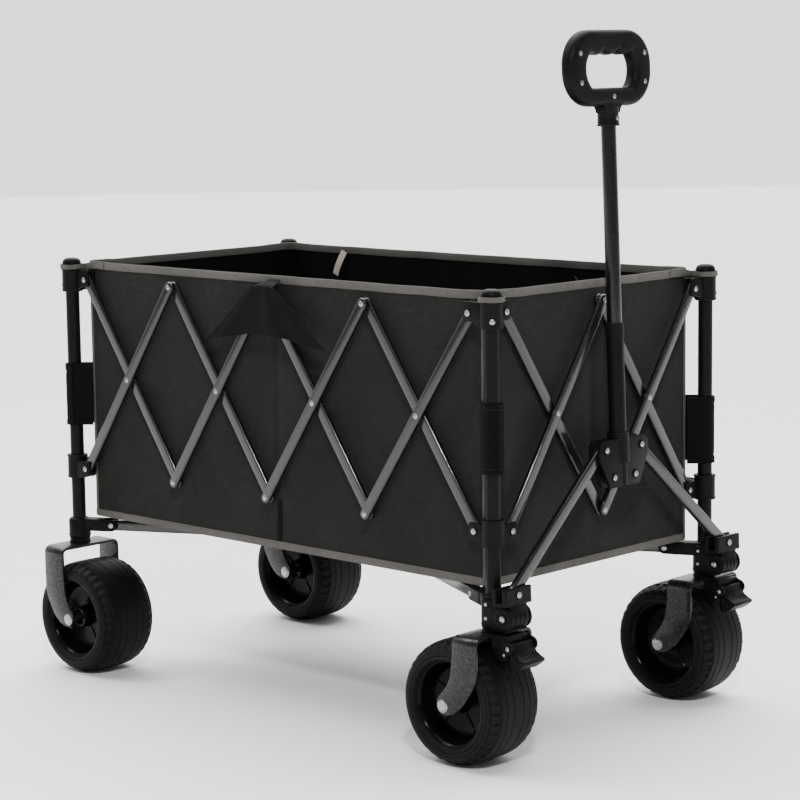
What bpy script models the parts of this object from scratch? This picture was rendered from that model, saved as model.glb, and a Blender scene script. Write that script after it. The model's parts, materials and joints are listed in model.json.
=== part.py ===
"""Folding camp wagon: four corner posts joined by coupled scissor bars, with a fabric tub inside,
two swivelling front wheels with foot brakes, two fixed rear wheels and a folding pull handle.
Metres, +X towards the handle, +Y to the wagon's left, +Z up, standing on z = 0 with its box
centred on the origin. It is drawn open, and folds by closing every scissor cell at once."""
import bpy
import bmesh
from math import asin, atan2, cos, pi, radians, sin, sqrt
from mathutils import Matrix, Vector

# ---- driving sizes -------------------------------------------------------------------------
SHIFT_X = -0.0165          # wagon centre to box centre
CELL = 0.209               # width of one scissor cell, open
CELL_TALL = 0.306          # height of one scissor cell, open
EAR = 0.0335               # post axis to the scissor pin on its bracket
LONG_CELLS, SHORT_CELLS = 4, 2
POST_X = LONG_CELLS * CELL / 2 + EAR
POST_Y = SHORT_CELLS * CELL / 2 + EAR
PIN_TOP, PIN_LOW = 0.636, 0.330
BAR_LONG = sqrt(CELL ** 2 + CELL_TALL ** 2)
LONG_PLANE, SHORT_PLANE = 0.0, -0.005   # scissor mid-plane, outboard of the post axes
BAR_HALF = 0.0085          # half the bar's width, and its end radius
LAYER = 0.0080             # bar thickness
GAP = 0.0003               # running gap between neighbours
PIN_R, HOLE_R, HEAD_R = 0.0030, 0.00335, 0.0046
HEAD_TALL = 0.0017

TUBE_R, TUBE_IN = 0.0110, 0.0094
POST_TOP = 0.6560
RING_R = 0.0160
COLLAR_LOW, COLLAR_HIGH, COLLAR_IN = 0.3125, 0.3500, 0.0115

WHEEL_R, WHEEL_HALF, AXLE_R = 0.0900, 0.0535, 0.0050
TRAIL_FRONT, LEAD_REAR = -0.0440, 0.0370
ARM_IN, ARM_OUT = 0.0546, 0.0594

FLOOR_PIN_Z, FLOOR_ARM, FLOOR_HALF = 0.2350, 0.0600, 0.0080
HUB_X = 0.0750             # bottom hub's clevis, from the wagon centre
SLANT = atan2(1, 2)        # each corner travels along this heading as the wagon folds
HUB_Y = POST_Y - (POST_X - HUB_X) / 2
FLOOR_LONG = sqrt((POST_X - HUB_X) ** 2 + (POST_Y - HUB_Y) ** 2) - FLOOR_ARM

PITCH_X, PITCH_Z = POST_X + 0.0350, 0.2180
LEAN = radians(2.2)
YOKE_U, HUB_U, HUB_PIN_Y = 0.0320, 0.2070, 0.0400
HANDLE_TOP_U = 0.8020

BASKET_LOW, BASKET_HIGH, BASKET_WALL = 0.2508, 0.6540, 0.0030
BASKET_X, BASKET_Y, CHAMFER = POST_X - 0.0185, POST_Y - 0.0140, 0.0080

CORNERS = {"front_right": (1, -1), "front_left": (1, 1), "rear_right": (-1, -1), "rear_left": (-1, 1)}

for old in list(bpy.data.objects):
    bpy.data.objects.remove(old, do_unlink=True)


# ---- materials -----------------------------------------------------------------------------
def material(name, colour, rough, metal=0.0):
    m = bpy.data.materials.new(name)
    m.use_nodes = True
    shader = m.node_tree.nodes["Principled BSDF"]
    shader.inputs["Base Color"].default_value = (*colour, 1)
    shader.inputs["Roughness"].default_value = rough
    shader.inputs["Metallic"].default_value = metal
    m.diffuse_color = (*colour, 1)
    return m


HAMMERED = material("hammered_dark_coat", (0.060, 0.055, 0.050), 0.40, 0.6)
SATIN = material("satin_black_coat", (0.012, 0.012, 0.013), 0.45, 0.3)
NYLON = material("black_nylon", (0.014, 0.014, 0.015), 0.50)
TYRE = material("black_rubber", (0.018, 0.018, 0.018), 0.80)
CLOTH = material("charcoal_cloth", (0.026, 0.025, 0.022), 0.90)
BOARD = material("padded_floor_cloth", (0.020, 0.019, 0.018), 0.90)


# ---- solids --------------------------------------------------------------------------------
WORLD = (Vector((0, 0, 0)), Vector((1, 0, 0)), Vector((0, 1, 0)), Vector((0, 0, 1)))


def to_mesh(points, faces):
    mesh = bpy.data.meshes.new("m")
    mesh.from_pydata([tuple(p) for p in points], [], faces)
    bm = bmesh.new()
    bm.from_mesh(mesh)
    bmesh.ops.recalc_face_normals(bm, faces=bm.faces)
    bm.to_mesh(mesh)
    bm.free()
    return mesh


def prism(outline, low, high, frame=WORLD):
    """An outline in the frame's first two axes, run along its third from low to high."""
    o, a, b, c = frame
    n = len(outline)
    points = [o + a * p + b * q + c * r for r in (low, high) for p, q in outline]
    faces = [list(range(n))[::-1], list(range(n, 2 * n))]
    faces += [[i, (i + 1) % n, n + (i + 1) % n, n + i] for i in range(n)]
    return to_mesh(points, faces)


def ring(p, q, r, n=12, start=0.5):
    return [(p + r * cos(2 * pi * (i + start) / n), q + r * sin(2 * pi * (i + start) / n))
            for i in range(n)]


def arc(p, q, r, a, b, n):
    return [(p + r * cos(radians(a + (b - a) * i / n)), q + r * sin(radians(a + (b - a) * i / n)))
            for i in range(n + 1)]


def rect(p0, p1, q0, q1):
    return [(p0, q0), (p1, q0), (p1, q1), (p0, q1)]


def turned(profile, frame, n):
    """A profile of (radius, height) turned round the frame's third axis, with no middle hole."""
    o, a, b, c = frame
    points, faces = [], []
    for r, h in profile:
        for i in range(n):
            t = 2 * pi * (i + 0.5) / n
            points.append(o + (a * cos(t) + b * sin(t)) * r + c * h)
    for k in range(len(profile) - 1):
        for i in range(n):
            j = (i + 1) % n
            faces.append([k * n + i, k * n + j, (k + 1) * n + j, (k + 1) * n + i])
    faces += [list(range(n))[::-1], [(len(profile) - 1) * n + i for i in range(n)]]
    return to_mesh(points, faces)


def boolean(mesh, other, operation):
    a = bpy.data.objects.new("a", mesh)
    b = bpy.data.objects.new("b", other)
    for o in (a, b):
        bpy.context.scene.collection.objects.link(o)
    cut = a.modifiers.new("cut", "BOOLEAN")
    cut.object, cut.operation, cut.solver = b, operation, "EXACT"
    bpy.context.view_layer.update()
    made = bpy.data.meshes.new_from_object(a.evaluated_get(bpy.context.evaluated_depsgraph_get()))
    bpy.data.objects.remove(a)
    bpy.data.objects.remove(b)
    return made


def join(*meshes):
    whole = meshes[0]
    for m in meshes[1:]:
        whole = boolean(whole, m, "UNION")
    return whole


def cut(mesh, *others):
    for m in others:
        mesh = boolean(mesh, m, "DIFFERENCE")
    return mesh


def moved(mesh, matrix):
    made = mesh.copy()
    made.transform(matrix)
    return made


root = bpy.data.objects.new("camp_wagon", None)
bpy.context.scene.collection.objects.link(root)


def piece(name, mesh, coat, pivot=(0, 0, 0)):
    """Hand in one mesh, drawn in wagon coordinates, with its origin on its joint axis."""
    pivot = Vector(pivot)
    mesh = moved(mesh, Matrix.Translation(-pivot))
    mesh.name = name
    mesh.materials.clear()
    mesh.materials.append(coat)
    for face in mesh.polygons:
        face.material_index = 0
    obj = bpy.data.objects.new(name, mesh)
    obj.location = pivot + Vector((SHIFT_X, 0, 0))
    obj.parent = root
    bpy.context.scene.collection.objects.link(obj)
    return obj


# ---- scissor bars --------------------------------------------------------------------------
# In a cell, bar A rises away from the first post in the outer layer and bar D falls in the inner
# one. A carries the rivets. "ear" is a hole for a bracket's pin, "open" an end left unpinned.
BAR_FRAME = WORLD


def scissor_bar(outer, start, end):
    h = BAR_LONG / 2
    outline = arc(h, 0, BAR_HALF, -90, 90, 4) + arc(-h, 0, BAR_HALF, 90, 270, 4)
    low, high = (GAP, GAP + LAYER) if outer else (-GAP - LAYER, -GAP)
    mesh = prism(outline, low, high, BAR_FRAME)
    for at, kind in ((-h, start), (0, "pin"), (h, end)):
        if kind == "open":
            continue
        if outer and kind == "pin":
            mesh = join(
                mesh,
                prism(ring(at, 0, PIN_R, 6), -LAYER - 3 * GAP, GAP + 0.004),
                prism(ring(at, 0, HEAD_R, 6), GAP + LAYER - 0.003, GAP + LAYER + HEAD_TALL),
                prism(ring(at, 0, HEAD_R, 6), -LAYER - 2 * GAP - HEAD_TALL, -LAYER - 2 * GAP),
            )
        else:
            mesh = cut(mesh, prism(ring(at, 0, HOLE_R, 8), -0.02, 0.02))
    return mesh


BARS = {
    ("A", "first"): scissor_bar(True, "open", "pin"),
    ("A", "middle"): scissor_bar(True, "pin", "pin"),
    ("A", "last"): scissor_bar(True, "pin", "ear"),
    ("D", "middle"): scissor_bar(False, "ear", "ear"),
    ("D", "last"): scissor_bar(False, "ear", "open"),
}


def side_frame(side):
    """Start of a side's first cell, its running direction and its outboard direction."""
    x, y = POST_X, POST_Y
    return {
        "right": (Vector((-x + EAR, -y - LONG_PLANE, 0)), Vector((1, 0, 0)), Vector((0, -1, 0))),
        "left": (Vector((-x + EAR, y + LONG_PLANE, 0)), Vector((1, 0, 0)), Vector((0, 1, 0))),
        "front": (Vector((x + SHORT_PLANE, -y + EAR, 0)), Vector((0, 1, 0)), Vector((1, 0, 0))),
        "rear": (Vector((-x - SHORT_PLANE, -y + EAR, 0)), Vector((0, 1, 0)), Vector((-1, 0, 0))),
    }[side]


def pin_at(side, high, k):
    start, run, out = side_frame(side)
    return start + run * (k * CELL) + Vector((0, 0, PIN_TOP if high else PIN_LOW))


def cross_at(side, k):
    return (pin_at(side, True, k - 1) + pin_at(side, False, k)) / 2


for side, cells in (("right", 4), ("left", 4), ("front", 2), ("rear", 2)):
    start, run, out = side_frame(side)
    for k in range(1, cells + 1):
        for letter, word in (("A", "rising"), ("D", "falling")):
            low = pin_at(side, letter == "D", k - 1)
            far = pin_at(side, letter == "A", k)
            way = (far - low).normalized()
            across = out.cross(way)
            place = Matrix((way, across, out)).transposed().to_4x4()
            place = Matrix.Translation((low + far) / 2) @ place
            kind = "last" if k == cells else "first" if k == 1 and letter == "A" else "middle"
            # the chain of hinges runs D1, A2, D3, A4; the other bar of each cell hangs on it
            chained = (letter == "D") == (k % 2 == 1)
            pivot = low if chained else cross_at(side, k)
            piece(f"{side}_{word}_bar_{k}", moved(BARS[letter, kind], place), HAMMERED, pivot)


# ---- corner posts, top brackets and sliding collars ----------------------------------------
def ear(corner, along_x, z, tall, pinned):
    """A clevis on a corner that takes one scissor bar's end, as solids to add and to cut."""
    sx, sy = CORNERS[corner]
    if along_x:
        o = Vector((sx * POST_X, sy * (POST_Y + LONG_PLANE), z))
        a, c = Vector((-sx, 0, 0)), Vector((0, sy, 0))
        outer = sx > 0            # the far end of a long side takes a rising bar
    else:
        o = Vector((sx * (POST_X + SHORT_PLANE), sy * POST_Y, z))
        a, c = Vector((0, -sy, 0)), Vector((sx, 0, 0))
        outer = sy > 0
    if not pinned:
        outer = not outer         # the lower pins swap layers
    frame = (o, a, Vector((0, 0, 1)), c)
    mid = (GAP + LAYER / 2) * (1 if outer else -1)
    half, wall = LAYER / 2 + GAP, 0.0032
    outline = [(0.002, -tall), (EAR, -tall)] + arc(EAR, 0, tall, -60, 60, 2)
    outline += [(EAR, tall), (0.002, tall)]
    body = prism(outline, mid - half - wall, mid + half + wall, frame)
    slot = prism(rect(RING_R + 0.0025, EAR + 0.03, -0.03, 0.03), mid - half, mid + half, frame)
    pins = []
    if pinned:
        pins.append(prism(ring(EAR, 0, PIN_R, 6), mid - half - 0.001, mid + half + 0.001, frame))
    for s in (1, -1):
        lo, hi = sorted((mid + s * (half + 0.001), mid + s * (half + wall + 0.0012)))
        pins.append(prism(ring(EAR, 0, HEAD_R, 6), lo, hi, frame))
    return body, slot, pins


def corner_frame(corner, z=0.0):
    sx, sy = CORNERS[corner]
    return (Vector((sx * POST_X, sy * POST_Y, z)), *WORLD[1:])


def post(corner):
    f = corner_frame(corner)
    low = 0.2180 if CORNERS[corner][0] > 0 else 0.2250
    mesh = prism(ring(0, 0, TUBE_R), low, POST_TOP, f)
    bracket = prism(ring(0, 0, RING_R), PIN_TOP - 0.0200, PIN_TOP + 0.0180, f)
    clevis = [ear(corner, along, PIN_TOP, 0.0100, True) for along in (True, False)]
    bracket = join(bracket, *[c[0] for c in clevis])
    bracket = cut(bracket, *[c[1] for c in clevis])
    bracket = join(bracket, *[p for c in clevis for p in c[2]])
    cap = turned([(0.0135, 0.6545), (0.0150, 0.6600), (0.0140, 0.6655),
                  (0.0040, 0.6705)], f, 12)
    mesh = join(mesh, bracket, cap)
    return cut(mesh, prism(ring(0, 0, TUBE_IN), low - 0.01, 0.6480, f))


def collar(corner):
    f = corner_frame(corner)
    mesh = prism(ring(0, 0, RING_R), COLLAR_LOW, COLLAR_HIGH, f)
    clevis = [ear(corner, along, PIN_LOW, 0.0100, False) for along in (True, False)]
    mesh = join(mesh, *[c[0] for c in clevis])
    mesh = cut(mesh, *[c[1] for c in clevis])
    mesh = join(mesh, *[p for c in clevis for p in c[2]])
    return cut(mesh, prism(ring(0, 0, COLLAR_IN), COLLAR_LOW - 0.01, COLLAR_HIGH + 0.01, f))


# ---- bottom brackets, forks and wheels -----------------------------------------------------
def slant_frame(corner):
    """Origin on the post axis, first axis towards the hub, second across, third up."""
    sx, sy = CORNERS[corner]
    inward = Vector((-sx * cos(SLANT), -sy * sin(SLANT), 0))
    up = Vector((0, 0, 1))
    return (Vector((sx * POST_X, sy * POST_Y, 0)), inward, up.cross(inward), up)


def pin_frame(corner, at):
    """The same, at a floor pin, with its third axis along the pin."""
    o, inward, across, up = slant_frame(corner)
    return (o + inward * at + up * FLOOR_PIN_Z, inward, up, -across)


def bottom_bracket(corner):
    front = CORNERS[corner][0] > 0
    f, s = corner_frame(corner), slant_frame(corner)
    low, high = (0.1985, 0.2460) if front else (0.2126, 0.2460)
    body = prism(ring(0, 0, 0.0175, 12), low, high, f)
    arm = prism(rect(0.004, FLOOR_ARM - 0.0115, -0.0114, 0.0114), 0.2252, 0.2448, s)
    body = join(body, arm)
    width = FLOOR_HALF + 0.0004
    for side in (1, -1):
        outline = [(0.030, -0.0092)] + arc(FLOOR_ARM, 0, 0.0092, -90, 90, 4) + [(0.030, 0.0092)]
        lo, hi = sorted((side * width, side * (width + 0.0038)))
        body = join(body, prism(outline, lo, hi, pin_frame(corner, 0)))
    bolt = prism(ring(FLOOR_ARM, 0, PIN_R, 6), -width - 0.002, width + 0.002, pin_frame(corner, 0))
    body = join(body, bolt)
    for side in (1, -1):
        lo, hi = sorted((side * (width + 0.002), side * (width + 0.0055)))
        body = join(body, prism(ring(FLOOR_ARM, 0, HEAD_R, 6), lo, hi, pin_frame(corner, 0)))
    if front:
        base = prism(rect(0.004, 0.0163, -0.0209, 0.0209), 0.1993, 0.2341, f)
        body = join(body, base)
        pf = (f[0] + Vector((0, 0, PITCH_Z)), Vector((1, 0, 0)), Vector((0, 0, 1)), Vector((0, -1, 0)))
        reach = PITCH_X - POST_X
        for side in (1, -1):
            outline = [(0.006, -0.0172)] + arc(reach, 0, 0.0172, -90, 90, 6) + [(0.006, 0.0172)]
            lo, hi = sorted((side * 0.0174, side * 0.0214))
            body = join(body, prism(outline, lo, hi, pf))
            lo, hi = sorted((side * 0.0204, side * 0.0236))
            body = join(body, prism(ring(reach, 0, 0.0060, 8), lo, hi, pf))
        body = join(body, prism(ring(reach, 0, 0.0040, 8), -0.0190, 0.0190, pf))
    socket = prism(ring(0, 0, TUBE_R + GAP), (0.2177 if front else 0.2247), high + 0.01, f)
    stem = prism(ring(0, 0, 0.0054, 8), low - 0.01, (0.2052 if front else 0.2205), f)
    return cut(body, socket, stem)


def wheel_frame(corner):
    """Origin on the axle, first axis forward, second up, third along the axle."""
    sx, sy = CORNERS[corner]
    x = sx * POST_X + (TRAIL_FRONT if sx > 0 else LEAD_REAR)
    return (Vector((x, sy * POST_Y, WHEEL_R)), Vector((1, 0, 0)), Vector((0, 0, 1)),
            Vector((0, -1, 0)))


def fork(corner):
    front = CORNERS[corner][0] > 0
    f, w = corner_frame(corner), wheel_frame(corner)
    top = 0.1930 if front else 0.2050
    lead = (TRAIL_FRONT if front else LEAD_REAR)
    way = -1 if front else 1                # which way the axle is set off the post
    post_u = -lead * way                    # the post axis, counted back from the axle
    o = w[0]
    a = (o, w[1] * way, w[2], w[3])
    d = top - WHEEL_R                       # bridge height above the axle
    outline = [(post_u - 0.0235, d), (post_u - 0.0235, d - 0.030), (post_u - 0.0190, d - 0.050),
               (post_u - 0.0080, 0.033)] + arc(0, 0, 0.0150, 195, 345, 5) + \
              [(0.0150, 0.012), (post_u + 0.0350, 0.044), (post_u + 0.0270, 0.072),
               (post_u + 0.0250, d)]
    mesh = None
    for side in (1, -1):
        lo, hi = sorted((side * ARM_IN, side * ARM_OUT))
        plate = prism(outline, lo, hi, a)
        mesh = plate if mesh is None else join(mesh, plate)
        bolt = prism(ring(0, 0, 0.0088, 8), *sorted((side * (ARM_OUT - 0.002),
                                                      side * (ARM_OUT + 0.0032))), w)
        mesh = join(mesh, bolt)
    bridge = prism(rect(post_u - 0.0235, post_u + 0.0250, -ARM_OUT + 0.0008, ARM_OUT - 0.0008),
                   d - 0.0072, d - 0.0002, (a[0], a[1], a[3], a[2]))
    race_top = 0.1980 if front else 0.2121
    race = prism(ring(0, 0, 0.0165, 12), top - 0.004, race_top, f)
    stem = prism(ring(0, 0, 0.0049, 8), top - 0.002, (0.2042 if front else 0.2195), f)
    axle = prism(ring(0, 0, AXLE_R, 10), -ARM_IN - 0.002, ARM_IN + 0.002, w)
    mesh = join(mesh, bridge, race, stem, axle)
    if front:
        g = (Vector((POST_X, f[0].y, 0)), Vector((1, 0, 0)), Vector((0, 0, 1)), Vector((0, -1, 0)))
        block = prism([(0.0160, 0.1850), (0.0200, 0.1650), (0.0405, 0.1620), (0.0405, 0.1925),
                       (0.0160, 0.1925)], -0.0280, 0.0280, g)
        mesh = join(mesh, block)
        for side in (1, -1):
            outline = [(0.0300, 0.1620), (0.0470, 0.1620)] + arc(0.0485, 0.1790, 0.0125, -60, 90, 5)
            outline += [(0.0300, 0.1925)]
            mesh = join(mesh, prism(outline, *sorted((side * 0.0236, side * 0.0286)), g))
        mesh = join(mesh, prism(ring(0.0485, 0.1790, 0.0025, 8), -0.0250, 0.0250, g))
    return mesh


def wheel(corner):
    half, n = WHEEL_HALF, 24
    r = WHEEL_R / cos(pi / n)               # a flat of the facets lies on the ground
    profile = [(0.0240, -half + 0.0015), (0.0300, -half + 0.0100), (0.0550, -half + 0.0100),
               (0.0620, -half), (0.0790, -half + 0.0030), (0.0885, -half + 0.0160),
               (r, -half + 0.0320)]
    profile += [(q, -h) for q, h in reversed(profile)]
    mesh = turned(profile, wheel_frame(corner), n)
    return cut(mesh, prism(ring(0, 0, AXLE_R + 0.0006, 10), -0.1, 0.1, wheel_frame(corner)))


def pedal(corner):
    sx, sy = CORNERS[corner]
    g = (Vector((POST_X, sy * POST_Y, 0)), Vector((1, 0, 0)), Vector((0, 0, 1)), Vector((0, -1, 0)))
    outline = arc(0.0485, 0.1790, 0.0066, 60, 190, 4) + [(0.0440, 0.1660), (0.0500, 0.1500),
              (0.0580, 0.1455), (0.0790, 0.1560), (0.0850, 0.1620), (0.0845, 0.1665)]
    mesh = prism(outline, -0.0230, 0.0230, g)
    return cut(mesh, prism(ring(0.0485, 0.1790, 0.0029, 8), -0.1, 0.1, g))


for corner, (sx, sy) in CORNERS.items():
    at = Vector((sx * POST_X, sy * POST_Y, 0))
    piece(f"{corner}_post", post(corner), SATIN, at + Vector((0, 0, PIN_TOP)))
    piece(f"{corner}_sliding_collar", collar(corner), NYLON, at + Vector((0, 0, PIN_LOW)))
    piece(f"{corner}_bottom_bracket", bottom_bracket(corner), NYLON, at + Vector((0, 0, 0.2350)))
    piece(f"{corner}_fork", fork(corner), HAMMERED, at + Vector((0, 0, 0.1960)))
    piece(f"{corner}_wheel", wheel(corner), TYRE, wheel_frame(corner)[0])
    if sx > 0:
        piece(f"{corner}_brake_pedal", pedal(corner), NYLON, at + Vector((0.0485, 0, 0.1790)))


# ---- bottom frame: four bars and a hub -----------------------------------------------------
def floor_bar(corner):
    f = pin_frame(corner, FLOOR_ARM)
    n = FLOOR_LONG
    mesh = prism(arc(n, 0, FLOOR_HALF, -90, 90, 6) + arc(0, 0, FLOOR_HALF, 90, 270, 6),
                 -FLOOR_HALF, FLOOR_HALF, f)
    mesh = cut(mesh, prism(ring(0, 0, HOLE_R, 8), -0.02, 0.02, f))
    if corner == "rear_right":
        mesh = cut(mesh, prism(ring(n, 0, HOLE_R, 8), -0.02, 0.02, f))
    return mesh


def floor_hub():
    x, y = HUB_X + 0.0060, HUB_Y + 0.0060
    low, high = FLOOR_PIN_Z + FLOOR_HALF + 0.0010, FLOOR_PIN_Z + FLOOR_HALF + 0.0070
    outline = [(x, -y + 0.015), (x, y - 0.015), (x - 0.02, y), (-x + 0.02, y), (-x, y - 0.015),
               (-x, -y + 0.015), (-x + 0.02, -y), (x - 0.02, -y)]
    mesh = prism(outline, low, high)
    f = pin_frame("rear_right", FLOOR_ARM + FLOOR_LONG)
    for side in (1, -1):
        cheek = [(-0.0090, 0.0120)] + arc(0, 0, 0.0085, 180, 360, 6) + [(0.0090, 0.0120)]
        lo, hi = sorted((side * (FLOOR_HALF + 0.0004), side * (FLOOR_HALF + 0.0034)))
        mesh = join(mesh, prism(cheek, lo, hi, f))
    return join(mesh, prism(ring(0, 0, PIN_R, 8), -FLOOR_HALF - 0.002, FLOOR_HALF + 0.002, f))


for corner in CORNERS:
    piece(f"{corner}_floor_bar", floor_bar(corner), HAMMERED, pin_frame(corner, FLOOR_ARM)[0])
piece("floor_hub", floor_hub(), NYLON, pin_frame("rear_right", FLOOR_ARM + FLOOR_LONG)[0])


# ---- pull handle ---------------------------------------------------------------------------
# Everything above the pitch axis lies in a plane that leans back a little. Its frame is across
# the wagon, up the handle, and forward out of the plane.
def lean_frame(y=0.0, u=0.0):
    up = Vector((-sin(LEAN), 0, cos(LEAN)))
    out = Vector((cos(LEAN), 0, sin(LEAN)))
    return (Vector((PITCH_X, y, PITCH_Z)) + up * u, Vector((0, 1, 0)), up, out)


def knuckle(sy):
    f = lean_frame(sy * POST_Y)
    side = (f[0], f[3], f[2], f[1])
    barrel = prism(arc(0, 0, 0.0162, 180, 360, 8) + [(0.0112, 0.0190), (-0.0112, 0.0190)],
                   -0.0171, 0.0171, side)
    block = prism(rect(-0.0215, 0.0215, 0.0182, 0.0425), -0.0120, 0.0120, f)
    mesh = join(barrel, block)
    mesh = cut(mesh, prism(rect(-0.05, 0.05, 0.0229, 0.06), -0.0054, 0.0054, f))
    mesh = join(mesh, prism(ring(0, YOKE_U, PIN_R, 8), -0.0080, 0.0080, f),
                prism(ring(0, YOKE_U, HEAD_R, 8), 0.0100, 0.0138, f))
    return cut(mesh, prism(ring(0, 0, 0.0044, 8), -0.05, 0.05, side))


YOKE_LONG = sqrt((POST_Y - HUB_PIN_Y) ** 2 + (HUB_U - YOKE_U) ** 2)


def yoke_bar(sy):
    f = lean_frame()
    low, high = Vector((sy * POST_Y, YOKE_U)), Vector((sy * HUB_PIN_Y, HUB_U))
    way = (high - low).normalized()
    b = (f[0] + f[1] * low.x + f[2] * low.y, f[1] * way.x + f[2] * way.y,
         f[1] * -way.y + f[2] * way.x, f[3])
    n = YOKE_LONG
    mesh = prism(arc(n, 0, BAR_HALF, -90, 90, 5) + arc(0, 0, BAR_HALF, 90, 270, 5),
                 -0.0050, 0.0050, b)
    mesh = cut(mesh, prism(ring(0, 0, HOLE_R, 8), -0.02, 0.02, b))
    if sy < 0:
        mesh = cut(mesh, prism(ring(n, 0, HOLE_R, 8), -0.02, 0.02, b))
    return mesh


def handle_hub():
    f = lean_frame()
    outline = [(-0.0330, 0.1510), (0.0330, 0.1510), (0.0550, 0.1950), (0.0550, 0.2140),
               (0.0480, 0.2210), (-0.0480, 0.2210), (-0.0550, 0.2140), (-0.0550, 0.1950)]
    mesh = prism(outline, -0.0110, 0.0110, f)
    for s in (1, -1):
        p0, p1 = sorted((s * 0.0170, s * 0.08))
        mesh = cut(mesh, prism(rect(p0, p1, 0.10, 0.30), -0.0054, 0.0054, f))
    up = (f[0], f[1], -f[3], f[2])
    mesh = join(mesh, prism(ring(0, 0, 0.0125), 0.1530, 0.3850, up),
                prism(ring(0, 0, 0.0131), 0.3650, 0.3870, up),
                prism(ring(-HUB_PIN_Y, HUB_U, PIN_R, 8), -0.0080, 0.0080, f))
    for y, u in ((-HUB_PIN_Y, HUB_U), (HUB_PIN_Y, HUB_U), (-0.0240, 0.1660), (0.0240, 0.1660)):
        mesh = join(mesh, prism(ring(y, u, HEAD_R, 6), 0.0090, 0.0125, f))
    return cut(mesh, prism(ring(0, 0, 0.0114), 0.10, 0.40, up))


def inner_tube():
    f = lean_frame()
    up = (f[0], f[1], -f[3], f[2])
    mesh = prism(ring(0, 0, 0.0110), 0.3450, 0.6900, up)
    return cut(mesh, prism(ring(0, 0, 0.0096), 0.30, 0.80, up))


def grip():
    f = lean_frame()
    low, top = 0.6945, HANDLE_TOP_U
    outline = []
    for y, u, r, a in ((0.0660, low + 0.0400, 0.0340, -75), (0.0700, top - 0.0300, 0.0300, 0),
                       (-0.0700, top - 0.0300, 0.0300, 90), (-0.0660, low + 0.0400, 0.0340, 180)):
        span = 75 if a in (-75, 180) else 90
        outline += arc(y, u, r, a, a + span, 4)
    outline += [(-0.0225, low + 0.0010), (0.0225, low + 0.0010)]
    mesh = prism(outline, -0.0125, 0.0125, f)
    mesh = join(mesh, prism(rect(-0.0225, 0.0225, 0.6665, low + 0.004), -0.0140, 0.0140, f))
    hole = arc(0.0400, 0.7390, 0.0180, -90, 0, 3) + arc(0.0430, 0.7560, 0.0155, 0, 60, 2)
    hole.append((0.0330, 0.7745))
    for k in range(3):                      # three finger swells, with cusps between them
        y = 0.0220 * (1 - k)
        hole += [(y + 0.0110 - 0.0055 * j, 0.7745 - 0.0050 * sin(pi * j / 4)) for j in (1, 2, 3)]
        hole.append((y - 0.0110, 0.7745))
    hole += arc(-0.0430, 0.7560, 0.0155, 120, 180, 2) + arc(-0.0400, 0.7390, 0.0180, 180, 270, 3)
    mesh = cut(mesh, prism(hole, -0.05, 0.05, f))
    up = (f[0], f[1], -f[3], f[2])
    return cut(mesh, prism(ring(0, 0, 0.0113), 0.60, 0.6905, up))


for sy, word in ((-1, "right"), (1, "left")):
    piece(f"{word}_handle_knuckle", knuckle(sy), NYLON, lean_frame(sy * POST_Y)[0])
    piece(f"{word}_yoke_bar", yoke_bar(sy), HAMMERED, lean_frame(sy * POST_Y, YOKE_U)[0])
piece("handle_hub_and_outer_tube", handle_hub(), NYLON, lean_frame(-HUB_PIN_Y, HUB_U)[0])
piece("handle_inner_tube", inner_tube(), HAMMERED, lean_frame(0, 0.3450)[0])
piece("handle_grip", grip(), NYLON, lean_frame(0, 0.6665)[0])


# ---- fabric tub and floor boards -----------------------------------------------------------
def octagon(x, y, c):
    return [(x, -y + c), (x, y - c), (x - c, y), (-x + c, y), (-x, y - c), (-x, -y + c),
            (-x + c, -y), (x - c, -y)]


t = BASKET_WALL
tub = prism(octagon(BASKET_X, BASKET_Y, CHAMFER), BASKET_LOW, BASKET_HIGH)
tub = cut(tub, prism(octagon(BASKET_X - t, BASKET_Y - t, CHAMFER - 0.4 * t),
                     BASKET_LOW + 0.0040, BASKET_HIGH + 0.05))
piece("fabric_basket", tub, CLOTH, (-POST_X, -POST_Y, BASKET_LOW))
board = prism(octagon(BASKET_X - 0.0060, BASKET_Y - 0.0060, CHAMFER), BASKET_LOW + 0.0043,
              BASKET_LOW + 0.0143)
piece("padded_floor_board", board, BOARD, (-POST_X, -POST_Y, BASKET_LOW))

for mesh in list(bpy.data.meshes):
    if mesh.users == 0:
        bpy.data.meshes.remove(mesh)
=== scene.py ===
"""Looks of the folding camp wagon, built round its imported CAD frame.

Sizes are metres in wagon coordinates (centre of the wheelbase on the ground, +X to the handle,
+Y to the wagon's left, +Z up); make() shifts every piece into the row frame."""
import bpy
import bmesh
import json
from math import acos, atan2, cos, exp, hypot, pi, radians, sin
from mathutils import Matrix, Vector
from mathutils.noise import noise

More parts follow.
